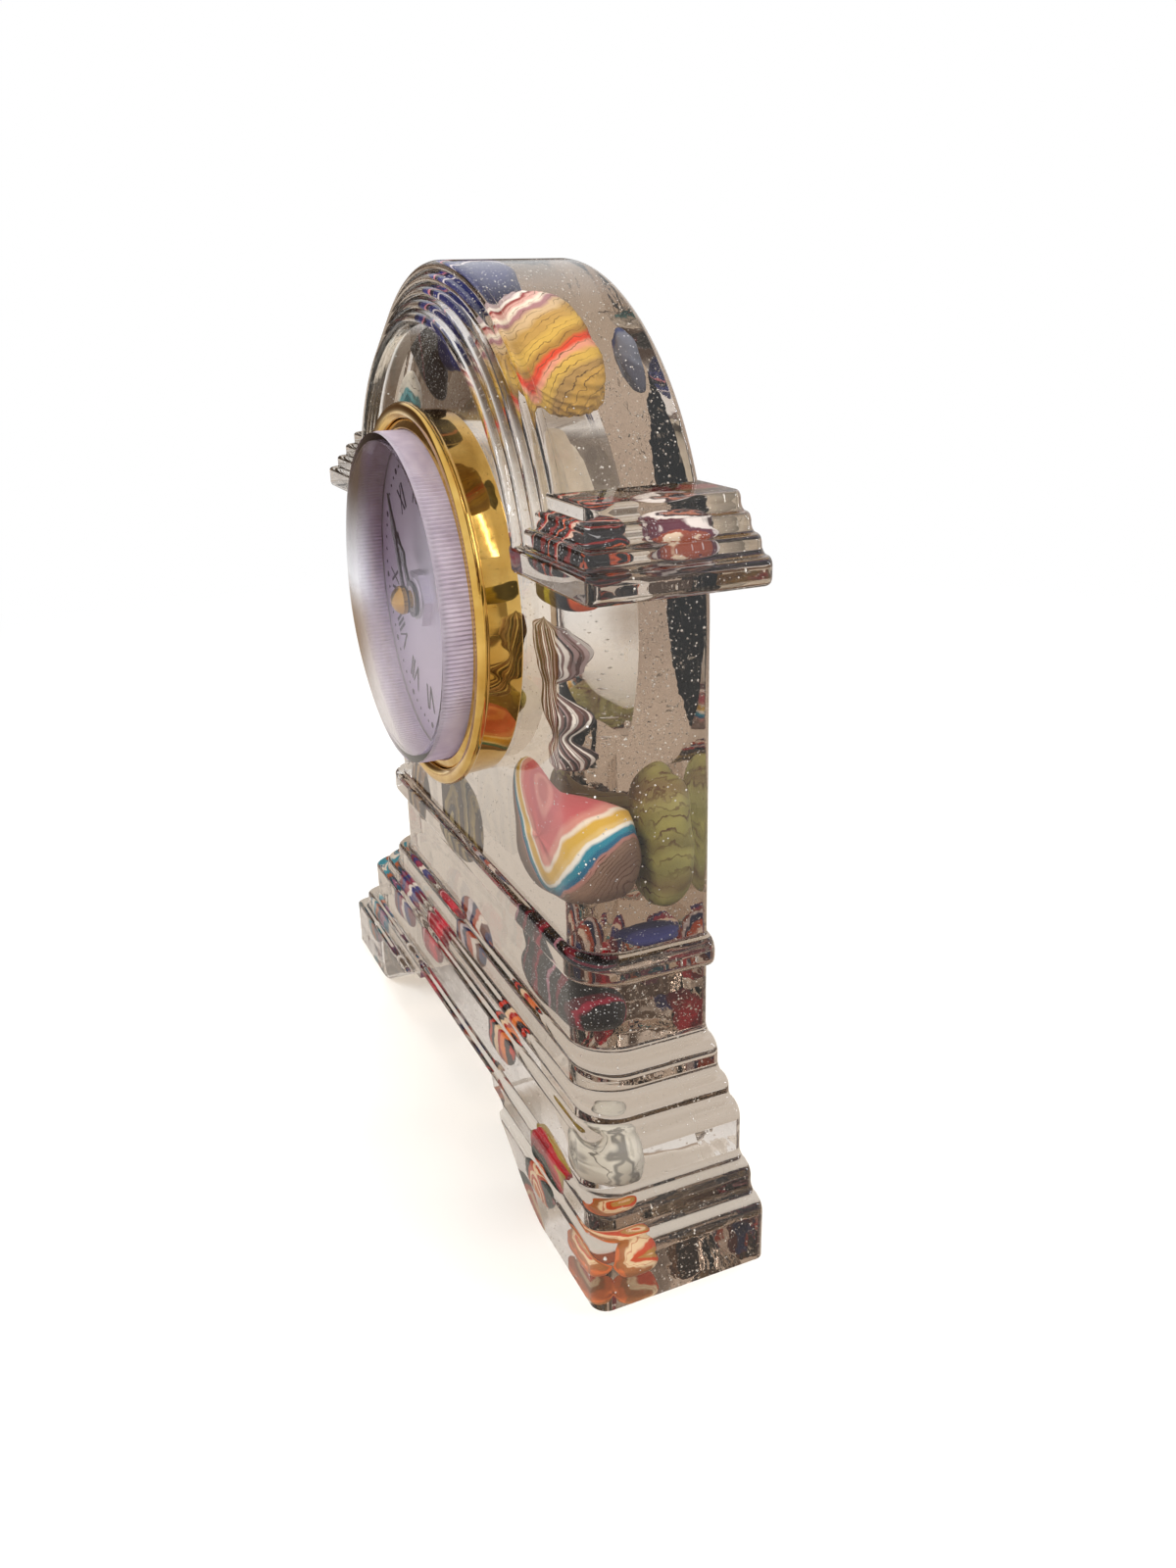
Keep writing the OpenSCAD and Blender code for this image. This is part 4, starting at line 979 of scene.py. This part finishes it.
def clay(name: str, colours: str, **rest: object) -> SwirledClay:
    """Clay finish from a string of hex colours."""
    return SwirledClay(name + "_polymer_clay", tuple(colours.split()), **rest)


CHIPS: tuple[Chip, ...] = (
    Chip("banded_chip", (28.5, 8, 150.5), (27, 15, 12),
         clay("banded", "4A3038 B7A3A8 EFE6E0 8E2A2A D9A8A0 F0E2D2 A97A80 D0B48C "
              "BC9650 CFAA52 A87E3A D9452A E09A80 D2AC50 AE8A50 C99E4A",
              widths=(1.0, 1.0, .7, .4, 1.0, .9, 1.0, 1.6, 2.4, 2.2, 1.2, 1.1, .9, 2.0, 1.6, 2.0),
              centre=(28.5, 3.7, 150.5), turn=(0, 29, 40), start=-12, span=24, warp=0.8, warp_size=6,
              soft=0.5, vein="5E4426", vein_mm=1.15),
         turn=142, lobes=2, lobe_depth=0.1, crumple=0.06, ridges=26, ridge_depth=0.05),
    # The thin near-white band E2DCE6 in the navy clay is a painted highlight: it stands for white glints
    # among the navy.
    Chip("navy_chip", (2.8, 5.8, 156), (20.5, 10.6, 16),
         clay("navy_glitter", "20265A 303880 D98A98 14162E 2C3478 E2DCE6 262C66",
              widths=(3, 3, .8, 2, 3, .4, 3), centre=(4, 2, 156), turn=(0, -30, 0), glitter=0.3), turn=-8),
    Chip("black_chip", (-15, 5.8, 152), (24, 10.6, 12),
         clay("black_glitter", "08080A 101014 060608 5A2A34 0A0A0C",
              widths=(3, 3, 3, .5, 3), centre=(-17, 2, 154), glitter=0.55), turn=-35, lobes=2),
    Chip("teal_chip", (-28, 5.5, 141.5), (15, 10, 11),
         clay("teal_arc", "B3A27A C9B98A 8A3A2A 1F6E78 5F9FA8 D9D5CC",
              pattern=Pattern.RINGS, centre=(-26, 0, 137), start=1, span=8, vein="4A2A22"), turn=45),
    Chip("back_navy_chip", (31, 20.5, 148.5), (13, 4, 7),
         clay("slate_navy", "2A3458 3A4468 6A6E7C 4A4A56", centre=(30, 17, 149), glitter=0.2, warp=2.2),
         turn=-45, lobe_depth=0.3, crumple=0.12),
    Ribbon("twisted_ribbon", (40.6, 5.9, 98), (27, 10, 15),
           clay("ribbon", "3A2826 E6E0DC 70504C 2A2222 A98F90 5A3C38 F0ECE8 7E605C BDA6A8 2E2424",
                pattern=Pattern.FLUTES, centre=(42.5, 3, 97.5), start=0, span=0.15, repeats=True,
                warp_size=3)),
    # Its brown and mauve bands at the low end of the chevron, 7C6254, 8A6E5E and B07C74, are painted shade:
    # they stand for the chip's shaded side outside the teal band.
    Chip("rainbow_chip", (35.5, 8, 70.5), (35.5, 12, 25.5),
         clay("rainbow", "7C6254 8A6E5E B07C74 1B6488 2A88A2 F1EDE6 E0C07A "
              "D9B04A EFE2D2 D8938A C9646A C0606A D08A88 B86C70",
              widths=(6, 3, 0.9, 1.5, 2.0, 1.3, 1.0, 3.2, 1.0, 2.0, 5, 3, 2, 3), pattern=Pattern.CHEVRON,
              centre=(37.2, -0.5, 52.2), start=-9.0, span=34, warp=0.7, warp_size=8, glitter=0.04, soft=0.45,
              vein="54382C", vein_mm=1.0, vein_share=0.3, vein_to=0.27), lobe_depth=0.17),
    Chip("olive_chip", (41, 19.2, 71), (24, 9.6, 28),
         clay("olive", "8E864E 9C9454 847A48 A0985A 8A8450 7C6A48 98905A", centre=(41, 16, 71), soft=0.9,
              turn=(0, 80, 0), span=17, repeats=True, warp=1.9, warp_size=6, vein="5A3E2A", vein_mm=2.3,
              vein_share=0.24), lobes=2, lobe_depth=0.05, crumple=0.07),
    Chip("cornice_red_chip", (55, 1.9, 125.6), (20, 8.5, 8.5),
         clay("cornice_red", "161214 7A1E1A 141216 C8562E 1A1416 A62A22 C9A998 201A1E",
              widths=(3, 1, 3, .7, 3, 1, .6, 2), centre=(55, -1.5, 126), turn=(0, 25, 0), start=-4, span=9,
              repeats=True, warp=1.3, warp_size=4, glitter=0.35)),
    Chip("cornice_orange_chip", (61, 14, 126), (15, 11, 8.5),
         clay("cornice_orange", "8E4430 D2BCA6 6A2A22 241A1C 9A604C 3A2628 D8D0CE 5A2A3A",
              pattern=Pattern.RINGS, centre=(61, 12, 126.5), start=0, span=7, repeats=True, warp=1.3,
              warp_size=4, glitter=0.4)),
    Chip("lower_cornice_chip", (44.5, 5, 116.5), (15, 6.5, 5.5),
         clay("lower_cornice", "1A1618 2A2426 B5A93E 5A5448 1D181A D85A24 8A2A20", centre=(46, 1.4, 116.5),
              start=-9, span=18, warp=0.9, warp_size=4), lobes=2),
    Chip("navy_strip", (48, 15, 55), (11, 10, 3),
         clay("navy_strip", "2A2C58 22244A 34366A", centre=(47, 12, 56.5), glitter=0.15), lobes=2),
    Chip("pointed_chip", (35, 6.5, 42), (34, 10, 19),
         clay("pointed", "08060A 4A101C 8A1A32 0C080C 12101A B0788A 0A080C 6A1428",
              widths=(4, 1.5, 1.0, 4, 2, .8, 4, 1), centre=(35, 3.4, 42), turn=(0, 20, 0), start=-8, span=16,
              repeats=True, warp=1.8, glitter=0.4), turn=-8, lobe_depth=0.36),
    Chip("ringed_chip", (-13, 8, 57), (26, 9, 21),
         clay("ringed", "4A3A2E 9A865E B9A87A 3A2E28 8A7650 A8925A 54402E", pattern=Pattern.RINGS,
              centre=(-16, 4.9, 52), stretch=(0.9, 0.5, 0.5), start=0, span=7, repeats=True, warp=1.6,
              vein="2E2420"), lobes=2),
    Chip("brown_chip", (-42, 8, 52), (12, 8, 16),
         clay("brown", "5A4030 8A6A4A 3A2A20 A8885A",
              centre=(-42, 4.9, 52), repeats=True, span=7, vein="2A1C16"), turn=10, lobes=2),
    Chip("rust_chip", (-6, 6, 31.5), (20, 8, 14),
         clay("rust", "8A3A22 C9BFC6 1E2250 B04A2A E0D4CC 5A2418 242A5E",
              centre=(-6, 3, 32), repeats=True, span=17, warp=2.2)),
    Chip("crimson_chip", (-24, 3, 22.5), (16, 8, 10),
         clay("crimson", "A00E28 C41A34 7A0A1E D9A0A8", widths=(3, 3, 2, .6),
              centre=(-22, 0, 22), repeats=True, span=14, warp=2.0, glitter=0.15)),
    Chip("left_foot_chip", (-66, 2, 9), (15, 9, 12),
         clay("left_foot", "2A6A8A D9D3CC 3A8AA0 A85A3A 20405A 8A5A7A",
              centre=(-67, -1, 8), repeats=True, span=14, warp=2.0)),
    Chip("left_die_chip", (-46, 3, 22), (18, 8, 10),
         clay("left_die", "2E2A6A 8A2A4A E2DAD6 3A3A7A 702038",
              centre=(-44, 0, 22), repeats=True, span=13, warp=2.2)),
    Chip("middle_red_chip", (21, 2, 21), (15, 8, 9),
         clay("middle_red", "C8321E 1E1214 E8C9A8 B02418 E27A3A 2A1416",
              centre=(22, -1, 21), repeats=True, warp=2.0)),
    Chip("cream_chip", (58, 4, 17.5), (10.5, 6, 10),
         clay("cream", "C9C6BC A9A6A0 DAD7CE 8A8884 C2BEB4", widths=(3, 1, 3, .5, 2), pattern=Pattern.RINGS,
              centre=(58, 1, 18), repeats=True, span=4, vein="77736C")),
    Chip("foot_swirl_chip", (49.3, -2.9, 10.2), (15.6, 7.2, 14.5),
         clay("foot_swirl", "E27A3A F0D2AC C8502A F0D2AC C8502A 141E18 1A2A1C 8A1A22 B01E2A 9C8436 A88F44",
              widths=(1, .5, .8, .5, .8, 1.4, 1.0, .9, .7, .6, .8), pattern=Pattern.RINGS,
              centre=(49, -9, 5), stretch=(0.9, 0.6, 0.75), start=0, span=10.0, warp=0.9, warp_size=5,
              glitter=0.1)),
    Chip("orange_foot_chip", (65, 1.5, 3.0), (12, 8, 4.2),
         clay("orange_foot", "D2602E E6CCA8 B98A48 CC4E26 EACFA8 A86A3C D8743E", pattern=Pattern.RINGS,
              centre=(66, 0, 5), start=0, span=7, repeats=True, warp=1.0, warp_size=5, vein="B8481E")),
)


@dataclass
class Bubbles:
    """Fine air bubbles scattered through the resin, with small and large as their radii in millimetres.

    They keep about a millimetre inside the casting's forms, and clear of its openings and chips. The steps of
    the plinth and the cornice and the hood's ribs are taken as slopes along those forms.
    """

    count: int = 9000
    tries: int = 8
    small: float = 0.06
    large: float = 0.25
    seed: int = 41
    chip_gap: float = 0.4
    lowest: Triple = (-76, -8, 1)
    highest: Triple = (76, 20.5, 166)
    body_front: float = -2.4
    body_side: float = 55.5
    top_r: float = 55.3
    hood_r: Pair = (46.5, 55)
    hood_low: float = 121
    hood_front: float = -7.5
    hood_slope: float = 0.45
    cornice_z: Pair = (121.5, 132)
    cornice_side: float = 73.5
    cornice_slope: float = 1.1
    cornice_front: float = -4.5
    plinth_top: float = 34
    plinth_side: float = 76
    plinth_front: float = -10.5
    plinth_slopes: Pair = (0.56, 0.24)
    gap_top: float = 15.8
    gap_side: float = 38
    pocket_r: float = 33.3
    pocket_back: float = 15.8

    def centres(self, rng: np.random.Generator) -> np.ndarray:
        """Random places inside the casting, outside its foot gap, its pocket and the chips."""
        p = rng.uniform(self.lowest, self.highest, (self.count * self.tries, 3))
        x, y, z = np.abs(p[:, 0]), p[:, 1], p[:, 2]
        round_r = np.hypot(x, z - ARCH_Z)
        hollow_r, rim_r = self.hood_r
        low, high = self.cornice_z
        outwards, forwards = self.plinth_slopes
        body = (y > self.body_front) & np.where(z < ARCH_Z, x < self.body_side, round_r < self.top_r)
        hood = (round_r > hollow_r) & (round_r < rim_r) & (z > self.hood_low)
        hood &= y > self.hood_front + (round_r - hollow_r) * self.hood_slope
        cornice = (z > low) & (z < high) & (round_r > hollow_r) & (y > self.cornice_front)
        cornice &= x < self.cornice_side - (z - low) * self.cornice_slope
        plinth = (z < self.plinth_top) & (x < self.plinth_side - z * outwards)
        plinth &= y > self.plinth_front + z * forwards
        gap = (z < self.gap_top) & (x < self.gap_side)
        pocket = (np.hypot(x, z - DIAL_Z) < self.pocket_r) & (y < self.pocket_back)
        inside = (body | hood | cornice | plinth) & ~gap & ~pocket
        for chip in CHIPS:
            wide, deep, high = chip.size
            reach = np.array([max(wide, high), deep, max(wide, high)]) / 2 + self.chip_gap
            inside &= (((p - chip.place - (0, FRONT_Y, 0)) / reach) ** 2).sum(1) > 1
        return p[inside][:self.count]

    def build(self) -> Object:
        """Copies one small ball, an icosahedron, to every place."""
        rng = np.random.default_rng(self.seed)
        centres = self.centres(rng)
        radii = self.small + (self.large - self.small) * rng.random(len(centres)) ** 3
        ball = bmesh.new()
        bmesh.ops.create_icosphere(ball, subdivisions=1, radius=1.0)
        unit = np.array([v.co[:] for v in ball.verts])
        corners = np.array([[v.index for v in f.verts] for f in ball.faces])
        ball.free()
        points = centres[:, None, :] + radii[:, None, None] * unit
        faces = (corners + (np.arange(len(centres)) * len(unit))[:, None, None]).reshape(-1, 3)
        piece = add_object("air_bubbles", new_mesh("air_bubbles", points, faces.tolist()))
        smooth(piece, 180.0)
        AIR.put_on(piece)
        LOG.info("bubbles: %d", len(centres))
        return hand_over(piece, "case")


# The push-in clock insert

@dataclass
class ClockInsert:
    """Gold bezel, inner ring, reeded domed lens and the dressed CAD pieces of dial, hands and movement."""

    bezel_r: float = 36.0
    seat_r: float = 34.3
    bezel_h: float = 9.0
    well_r: float = 33.05
    lens_r: float = 31.05
    lens_t: float = 2.0
    dial_face: float = 6.5
    wall_top: float = 13.6
    crown: float = 18.1
    reeds: int = 240
    reed_depth: float = 0.3

    def bezel(self) -> Object:
        """Spun bezel: seat, slightly flared side, and a rolled lip that dips into the well."""
        inner, ledge = 31.7, 5.0
        corners = [(ledge, inner), (0.2, inner), (0.2, self.seat_r), (3.6, self.seat_r + 0.25),
                   (6.7, 34.9), (6.9, self.bezel_r), (self.bezel_h, self.bezel_r),
                   (self.bezel_h, self.well_r + 0.9), (8.2, self.well_r), (ledge, self.well_r),
                   (ledge, inner)]
        cuts = [0, 0.3, 0.3, 0.6, 0.18, 0.85, 0.95, 0.7, 0.3, 0.1, 0]
        return self.spun("gold_bezel", corners, cuts, 6, GOLD, "bezel")

    def ring(self) -> Object:
        """Slim inner ring between the bezel's well and the lens."""
        corners = [(5.9, 31.15), (5.9, 32.95), (7.7, 32.95), (8.5, 31.15), (5.9, 31.15)]
        return self.spun("gold_inner_ring", corners, [0, 0.2, 0.35, 0.5, 0], 5, GOLD_SATIN, "lens_ring")

    def spun(self, name: str, corners: list[Pair], cuts: list[float], steps: int,
             finish: Finish, node: str) -> Object:
        """Spins a closed profile with rounded corners out of gold-plated brass.

        Args:
            name: Name of the piece.
            corners: Height and radius of each corner, with the first one again at the end.
            cuts: Rounding of each corner.
            steps: Spans in each rounding.
            finish: Finish of the metal.
            node: CAD node that the piece stands for.

        Returns:
            The finished piece.
        """
        path = rounded_path(np.array(corners), np.array(cuts), steps)[:-1]
        piece = revolve(name, path, 256, 50.0)
        finish.put_on(piece)
        return hand_over(piece, "insert", node)

    def lens(self) -> Object:
        """Domed lens with reeds on its wall.

        The dome's height is that of a sphere through the crown and the wall's top. The reeded wall's radius
        is a cosine of the turn, taken off the lens's own.
        """
        segments = self.reeds * 4
        rise = self.crown - self.wall_top
        dome = (self.lens_r ** 2 + rise ** 2) / (2 * rise)
        outer_r = self.lens_r * np.sin(np.linspace(np.pi / 2, 0, 15))
        inner_r = (self.lens_r - self.lens_t) * np.sin(np.linspace(0, np.pi / 2, 13))
        outer, inner = (np.column_stack([self.crown - dome + np.sqrt(reach ** 2 - r ** 2), r])
                        for reach, r in ((dome, outer_r), (dome - self.lens_t, inner_r)))
        outer[0] = [self.wall_top - 0.3, self.lens_r - 0.16]
        wall = np.array([[self.dial_face, self.lens_r - 0.3], [self.dial_face + 0.3, self.lens_r],
                         [10.0, self.lens_r], [self.wall_top - 0.9, self.lens_r]])
        profile = np.vstack([wall, outer, inner, [[self.dial_face, self.lens_r - self.lens_t]]])
        wobble = np.zeros((len(profile), segments))
        wobble[1:4] = self.reed_depth * (np.cos(self.reeds * full_turn(segments)) - 1) / 2
        piece = revolve("domed_lens", profile, segments, 40.0, wobble)
        LENS_ACRYLIC.put_on(piece)
        self.reed(piece)
        return hand_over(piece, "insert", "lens")

    def reed(self, lens: Object) -> None:
        """Gives the reeded finish to the faces of the lens's outer wall."""
        lens.data.materials.append(REEDED_WALL.material())
        middles = np.empty(len(lens.data.polygons) * 3)
        lens.data.polygons.foreach_get("center", middles)
        x, y, z = middles.reshape(-1, 3).T / MM
        margin = 0.05
        outside = np.hypot(x, z - DIAL_Z) > self.lens_r - self.reed_depth - margin
        on_wall = outside & (FRONT_Y - y < self.wall_top + margin)
        lens.data.polygons.foreach_set("material_index", on_wall.astype(np.int32))

    def dress(self) -> None:
        """Gives the CAD nodes of the insert their finishes."""
        finishes = {
            SILVERED: ("dial", "hand_nut"), INK: ("dial_numerals", "minute_dots"),
            HAND_BLACK: ("hour_hand", "minute_hand"), GOLD: ("hand_cap",),
            BRASS: ("cannon_pinion", "centre_wheel", "cell_contact", "cell_clip"),
            CREAM_PLASTIC: ("neck_cup", "rear_cover", "setting_knob"), CREAM_RUBBER: ("rubber_ring",),
            GREY_PLASTIC: ("front_plate", "housing_ring", "pivot_plate"),
            ACETAL: ("hour_wheel", "motion_wheel", "third_wheel", "seconds_wheel", "fifth_wheel"),
            MAGNET: ("rotor",), STEEL: ("stator", "quartz_crystal", "button_cell", "housing_screws"),
            COPPER: ("coil",), BOARD: ("circuit_board",), BLACK_PLASTIC: ("driver_blob",),
        }
        for finish, nodes in finishes.items():
            for node in nodes:
                finish.put_on(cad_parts[node])

    def build(self) -> None:
        """Builds and dresses the insert."""
        self.bezel()
        self.ring()
        self.lens()
        self.dress()


# Studio

def stand(thing: Object, right: np.ndarray, up: np.ndarray, back: np.ndarray, place: Triple) -> None:
    """Places a lamp or camera in metres, with its three axes given in the scene's frame."""
    matrix = np.eye(4)
    matrix[:3] = np.column_stack([right, up, back, place])
    thing.matrix_world = Matrix(matrix.tolist())


@dataclass(frozen=True)
class Lamp:
    """Rectangular soft lamp: place and size in metres, power in watts, and whether a mirror shows it."""

    name: str
    place: Triple
    size: Pair
    power: float
    colour: str
    mirrored: bool = False
    target: Triple = (0.0, 0.0, 0.09)

    def build(self) -> None:
        """Aims the lamp at the middle of the clock."""
        data = bpy.data.lights.new(self.name, "AREA")
        data.shape = "RECTANGLE"
        data.size, data.size_y = self.size
        data.energy = self.power
        data.color = linear(self.colour)[:3]
        lamp = add_object(self.name, data)
        lamp.visible_glossy = self.mirrored
        lamp.visible_transmission = self.mirrored
        away = np.array(self.place) - np.array(self.target)
        back = away / np.linalg.norm(away)
        right = np.cross([0, 0, 1.0], back)
        right /= np.linalg.norm(right)
        stand(lamp, right, np.cross(back, right), back, self.place)


@dataclass(frozen=True)
class Card:
    """Flat studio card with soft edges that only mirror and refracted rays meet.

    It has one corner and the two sides from there, in millimetres, and edge is the share of it that fades.
    """

    name: str
    corner: Triple
    across: Triple
    along: Triple
    colour: str
    edge: float = 0.9

    def build(self) -> None:
        """Meshes the card and paints it."""
        first, across, along = (np.array(v, float) for v in (self.corner, self.across, self.along))
        points = np.stack([first, first + across, first + across + along, first + along])
        mesh = new_mesh(self.name, points, [[0, 1, 2, 3]])
        mesh.uv_layers.new(name="across").data.foreach_set("uv", [0.0, 0.0, 1.0, 0.0, 1.0, 1.0, 0.0, 1.0])
        mesh.materials.append(self.paint())
        card = add_object(self.name, mesh)
        card.visible_camera = False
        card.visible_diffuse = False
        card.visible_shadow = False
        card.visible_volume_scatter = False

    def paint(self) -> bpy.types.Material:
        """Even glow that fades to clear with the distance from the card's middle."""
        paint = bpy.data.materials.new(self.name + "_paint")
        add = fresh_nodes(paint)
        middle = add("VectorMath", {"operation": "SUBTRACT", 1: (0.5, 0.5, 0.0)},
                     {0: add("TexCoord").outputs["UV"]})
        away = add("VectorMath", {"operation": "LENGTH"}, {0: middle})
        share = add("MapRange", {"interpolation_type": "SMOOTHSTEP", "From Min": 0.5 - self.edge / 2,
                                 "From Max": 0.5}, {"Value": away.outputs["Value"]})
        glow = add("Emission", {"Color": linear(self.colour), "Strength": 1.0})
        mix = add("MixShader", links={0: share, 1: glow, 2: add("BsdfTransparent")})
        add("OutputMaterial", links={"Surface": mix})
        return paint


@dataclass
class Studio:
    """Pale floor, white surround, soft lamps and the dark cards that give glass and gold their contrast."""

    eye: Triple = (0.23229, -0.07980, 0.16129)
    azimuth: float = 66.08
    elevation: float = 20.98
    roll: float = -1.438
    lens: float = 29.31
    sensor: float = 36.0
    floor_mm: float = 6000.0
    floor_z: float = -0.02
    shadow_reach: float = 0.16
    white_from: float = 0.55
    sky: float = 0.62
    lamps: tuple[Lamp, ...] = (
        Lamp("key_softbox", (0.45, -0.5, 0.7), (0.3, 0.3), 7.0, "FFFDF8"),
        Lamp("top_softbox", (-0.25, 0.2, 0.9), (0.6, 0.25), 6.0, "FFFFFF"),
        Lamp("window_strip", (0.30, 0.62, 0.55), (0.05, 0.5), 1.2, "EEF3FF", mirrored=True),
    )
    cards: tuple[Card, ...] = (
        Card("left_card", (-500, -400, 0), (0, 900, 0), (0, 0, 350), "6A5A4C", edge=0.5),
        Card("front_card", (-150, -260, 0), (-190, 200, 0), (0, 0, 400), "5A4A40", edge=0.5),
        Card("table_card", (-600, -600, -0.01), (1200, 0, 0), (0, 1200, 0), "DAD1C6"),
        Card("left_table_card", (-620, -300, 0.01), (420, 0, 0), (0, 750, 0), "A68F78"),
        Card("wall_card", (-900, 700, 0), (800, 0, 0), (0, 0, 400), "8E8072"),
        Card("ceiling_card", (-700, -200, 800), (1100, 0, 0), (0, 800, 0), "BEB2A2"),
    )

    def camera(self) -> None:
        """Camera at the photograph's place, turned by azimuth, elevation and roll."""
        a, e, r = (math.radians(v) for v in (self.azimuth, self.elevation, self.roll))
        back = np.array([math.sin(a) * math.cos(e), -math.cos(a) * math.cos(e), math.sin(e)])
        right = np.array([math.cos(a), math.sin(a), 0.0])
        up = np.cross(back, right)
        data = bpy.data.cameras.new("camera")
        data.lens = self.lens
        data.sensor_width = self.sensor
        data.clip_start = 0.005
        data.clip_end = 20.0
        camera = add_object("camera", data)
        c, s = math.cos(r), math.sin(r)
        stand(camera, c * right + s * up, c * up - s * right, back, self.eye)
        bpy.context.scene.camera = camera

    def world(self) -> None:
        """White for camera, mirror and refracted rays, a soft pale sky for the rest."""
        world = bpy.data.worlds.new("studio_surround")
        bpy.context.scene.world = world
        add = fresh_nodes(world)
        path = add("LightPath")
        first = add("Math", {"operation": "MAXIMUM"},
                    {0: path.outputs["Is Camera Ray"], 1: path.outputs["Is Glossy Ray"]})
        seen = add("Math", {"operation": "MAXIMUM"}, {0: first, 1: path.outputs["Is Transmission Ray"]})
        soft = add("Background", {"Color": linear("F4F2EE"), "Strength": self.sky})
        white = add("Background", {"Color": linear("FFFFFF"), "Strength": 1.0})
        mix = add("MixShader", links={0: seen, 1: soft, 2: white})
        add("OutputWorld", links={"Surface": mix})

    def floor(self) -> None:
        """Pale floor that keeps the clock's shadow and fades to white far from it."""
        half = self.floor_mm
        points = np.array([[-half, -half, self.floor_z], [half, -half, self.floor_z],
                           [half, half, self.floor_z], [-half, half, self.floor_z]])
        floor = add_object("floor", new_mesh("floor", points, [[0, 1, 2, 3]]))
        material = bpy.data.materials.new("pale_paper_floor")
        add = fresh_nodes(material)
        far = add("VectorMath", {"operation": "LENGTH"}, {0: add("TexCoord").outputs["Object"]})
        share = add("MapRange", {"interpolation_type": "SMOOTHSTEP", "From Min": self.shadow_reach,
                                 "From Max": self.white_from}, {"Value": far.outputs["Value"]})
        paper = add("BsdfDiffuse", {"Color": linear("F3F1EE")})
        white = add("Emission", {"Color": linear("FFFFFF"), "Strength": 1.0})
        mix = add("MixShader", links={0: share, 1: paper, 2: white})
        add("OutputMaterial", links={"Surface": mix})
        floor.data.materials.append(material)

    def build(self) -> None:
        """Sets up the whole studio."""
        bpy.context.scene.view_settings.view_transform = "Standard"
        self.camera()
        self.world()
        self.floor()
        for piece in (*self.lamps, *self.cards):
            piece.build()


def main() -> None:
    """Builds the studio, the casting, its chips and bubbles, and the insert."""
    Studio().build()
    ResinCase().build()
    for chip in CHIPS:
        chip.build()
    Bubbles().build()
    ClockInsert().build()


if __name__ == "__main__":
    main()
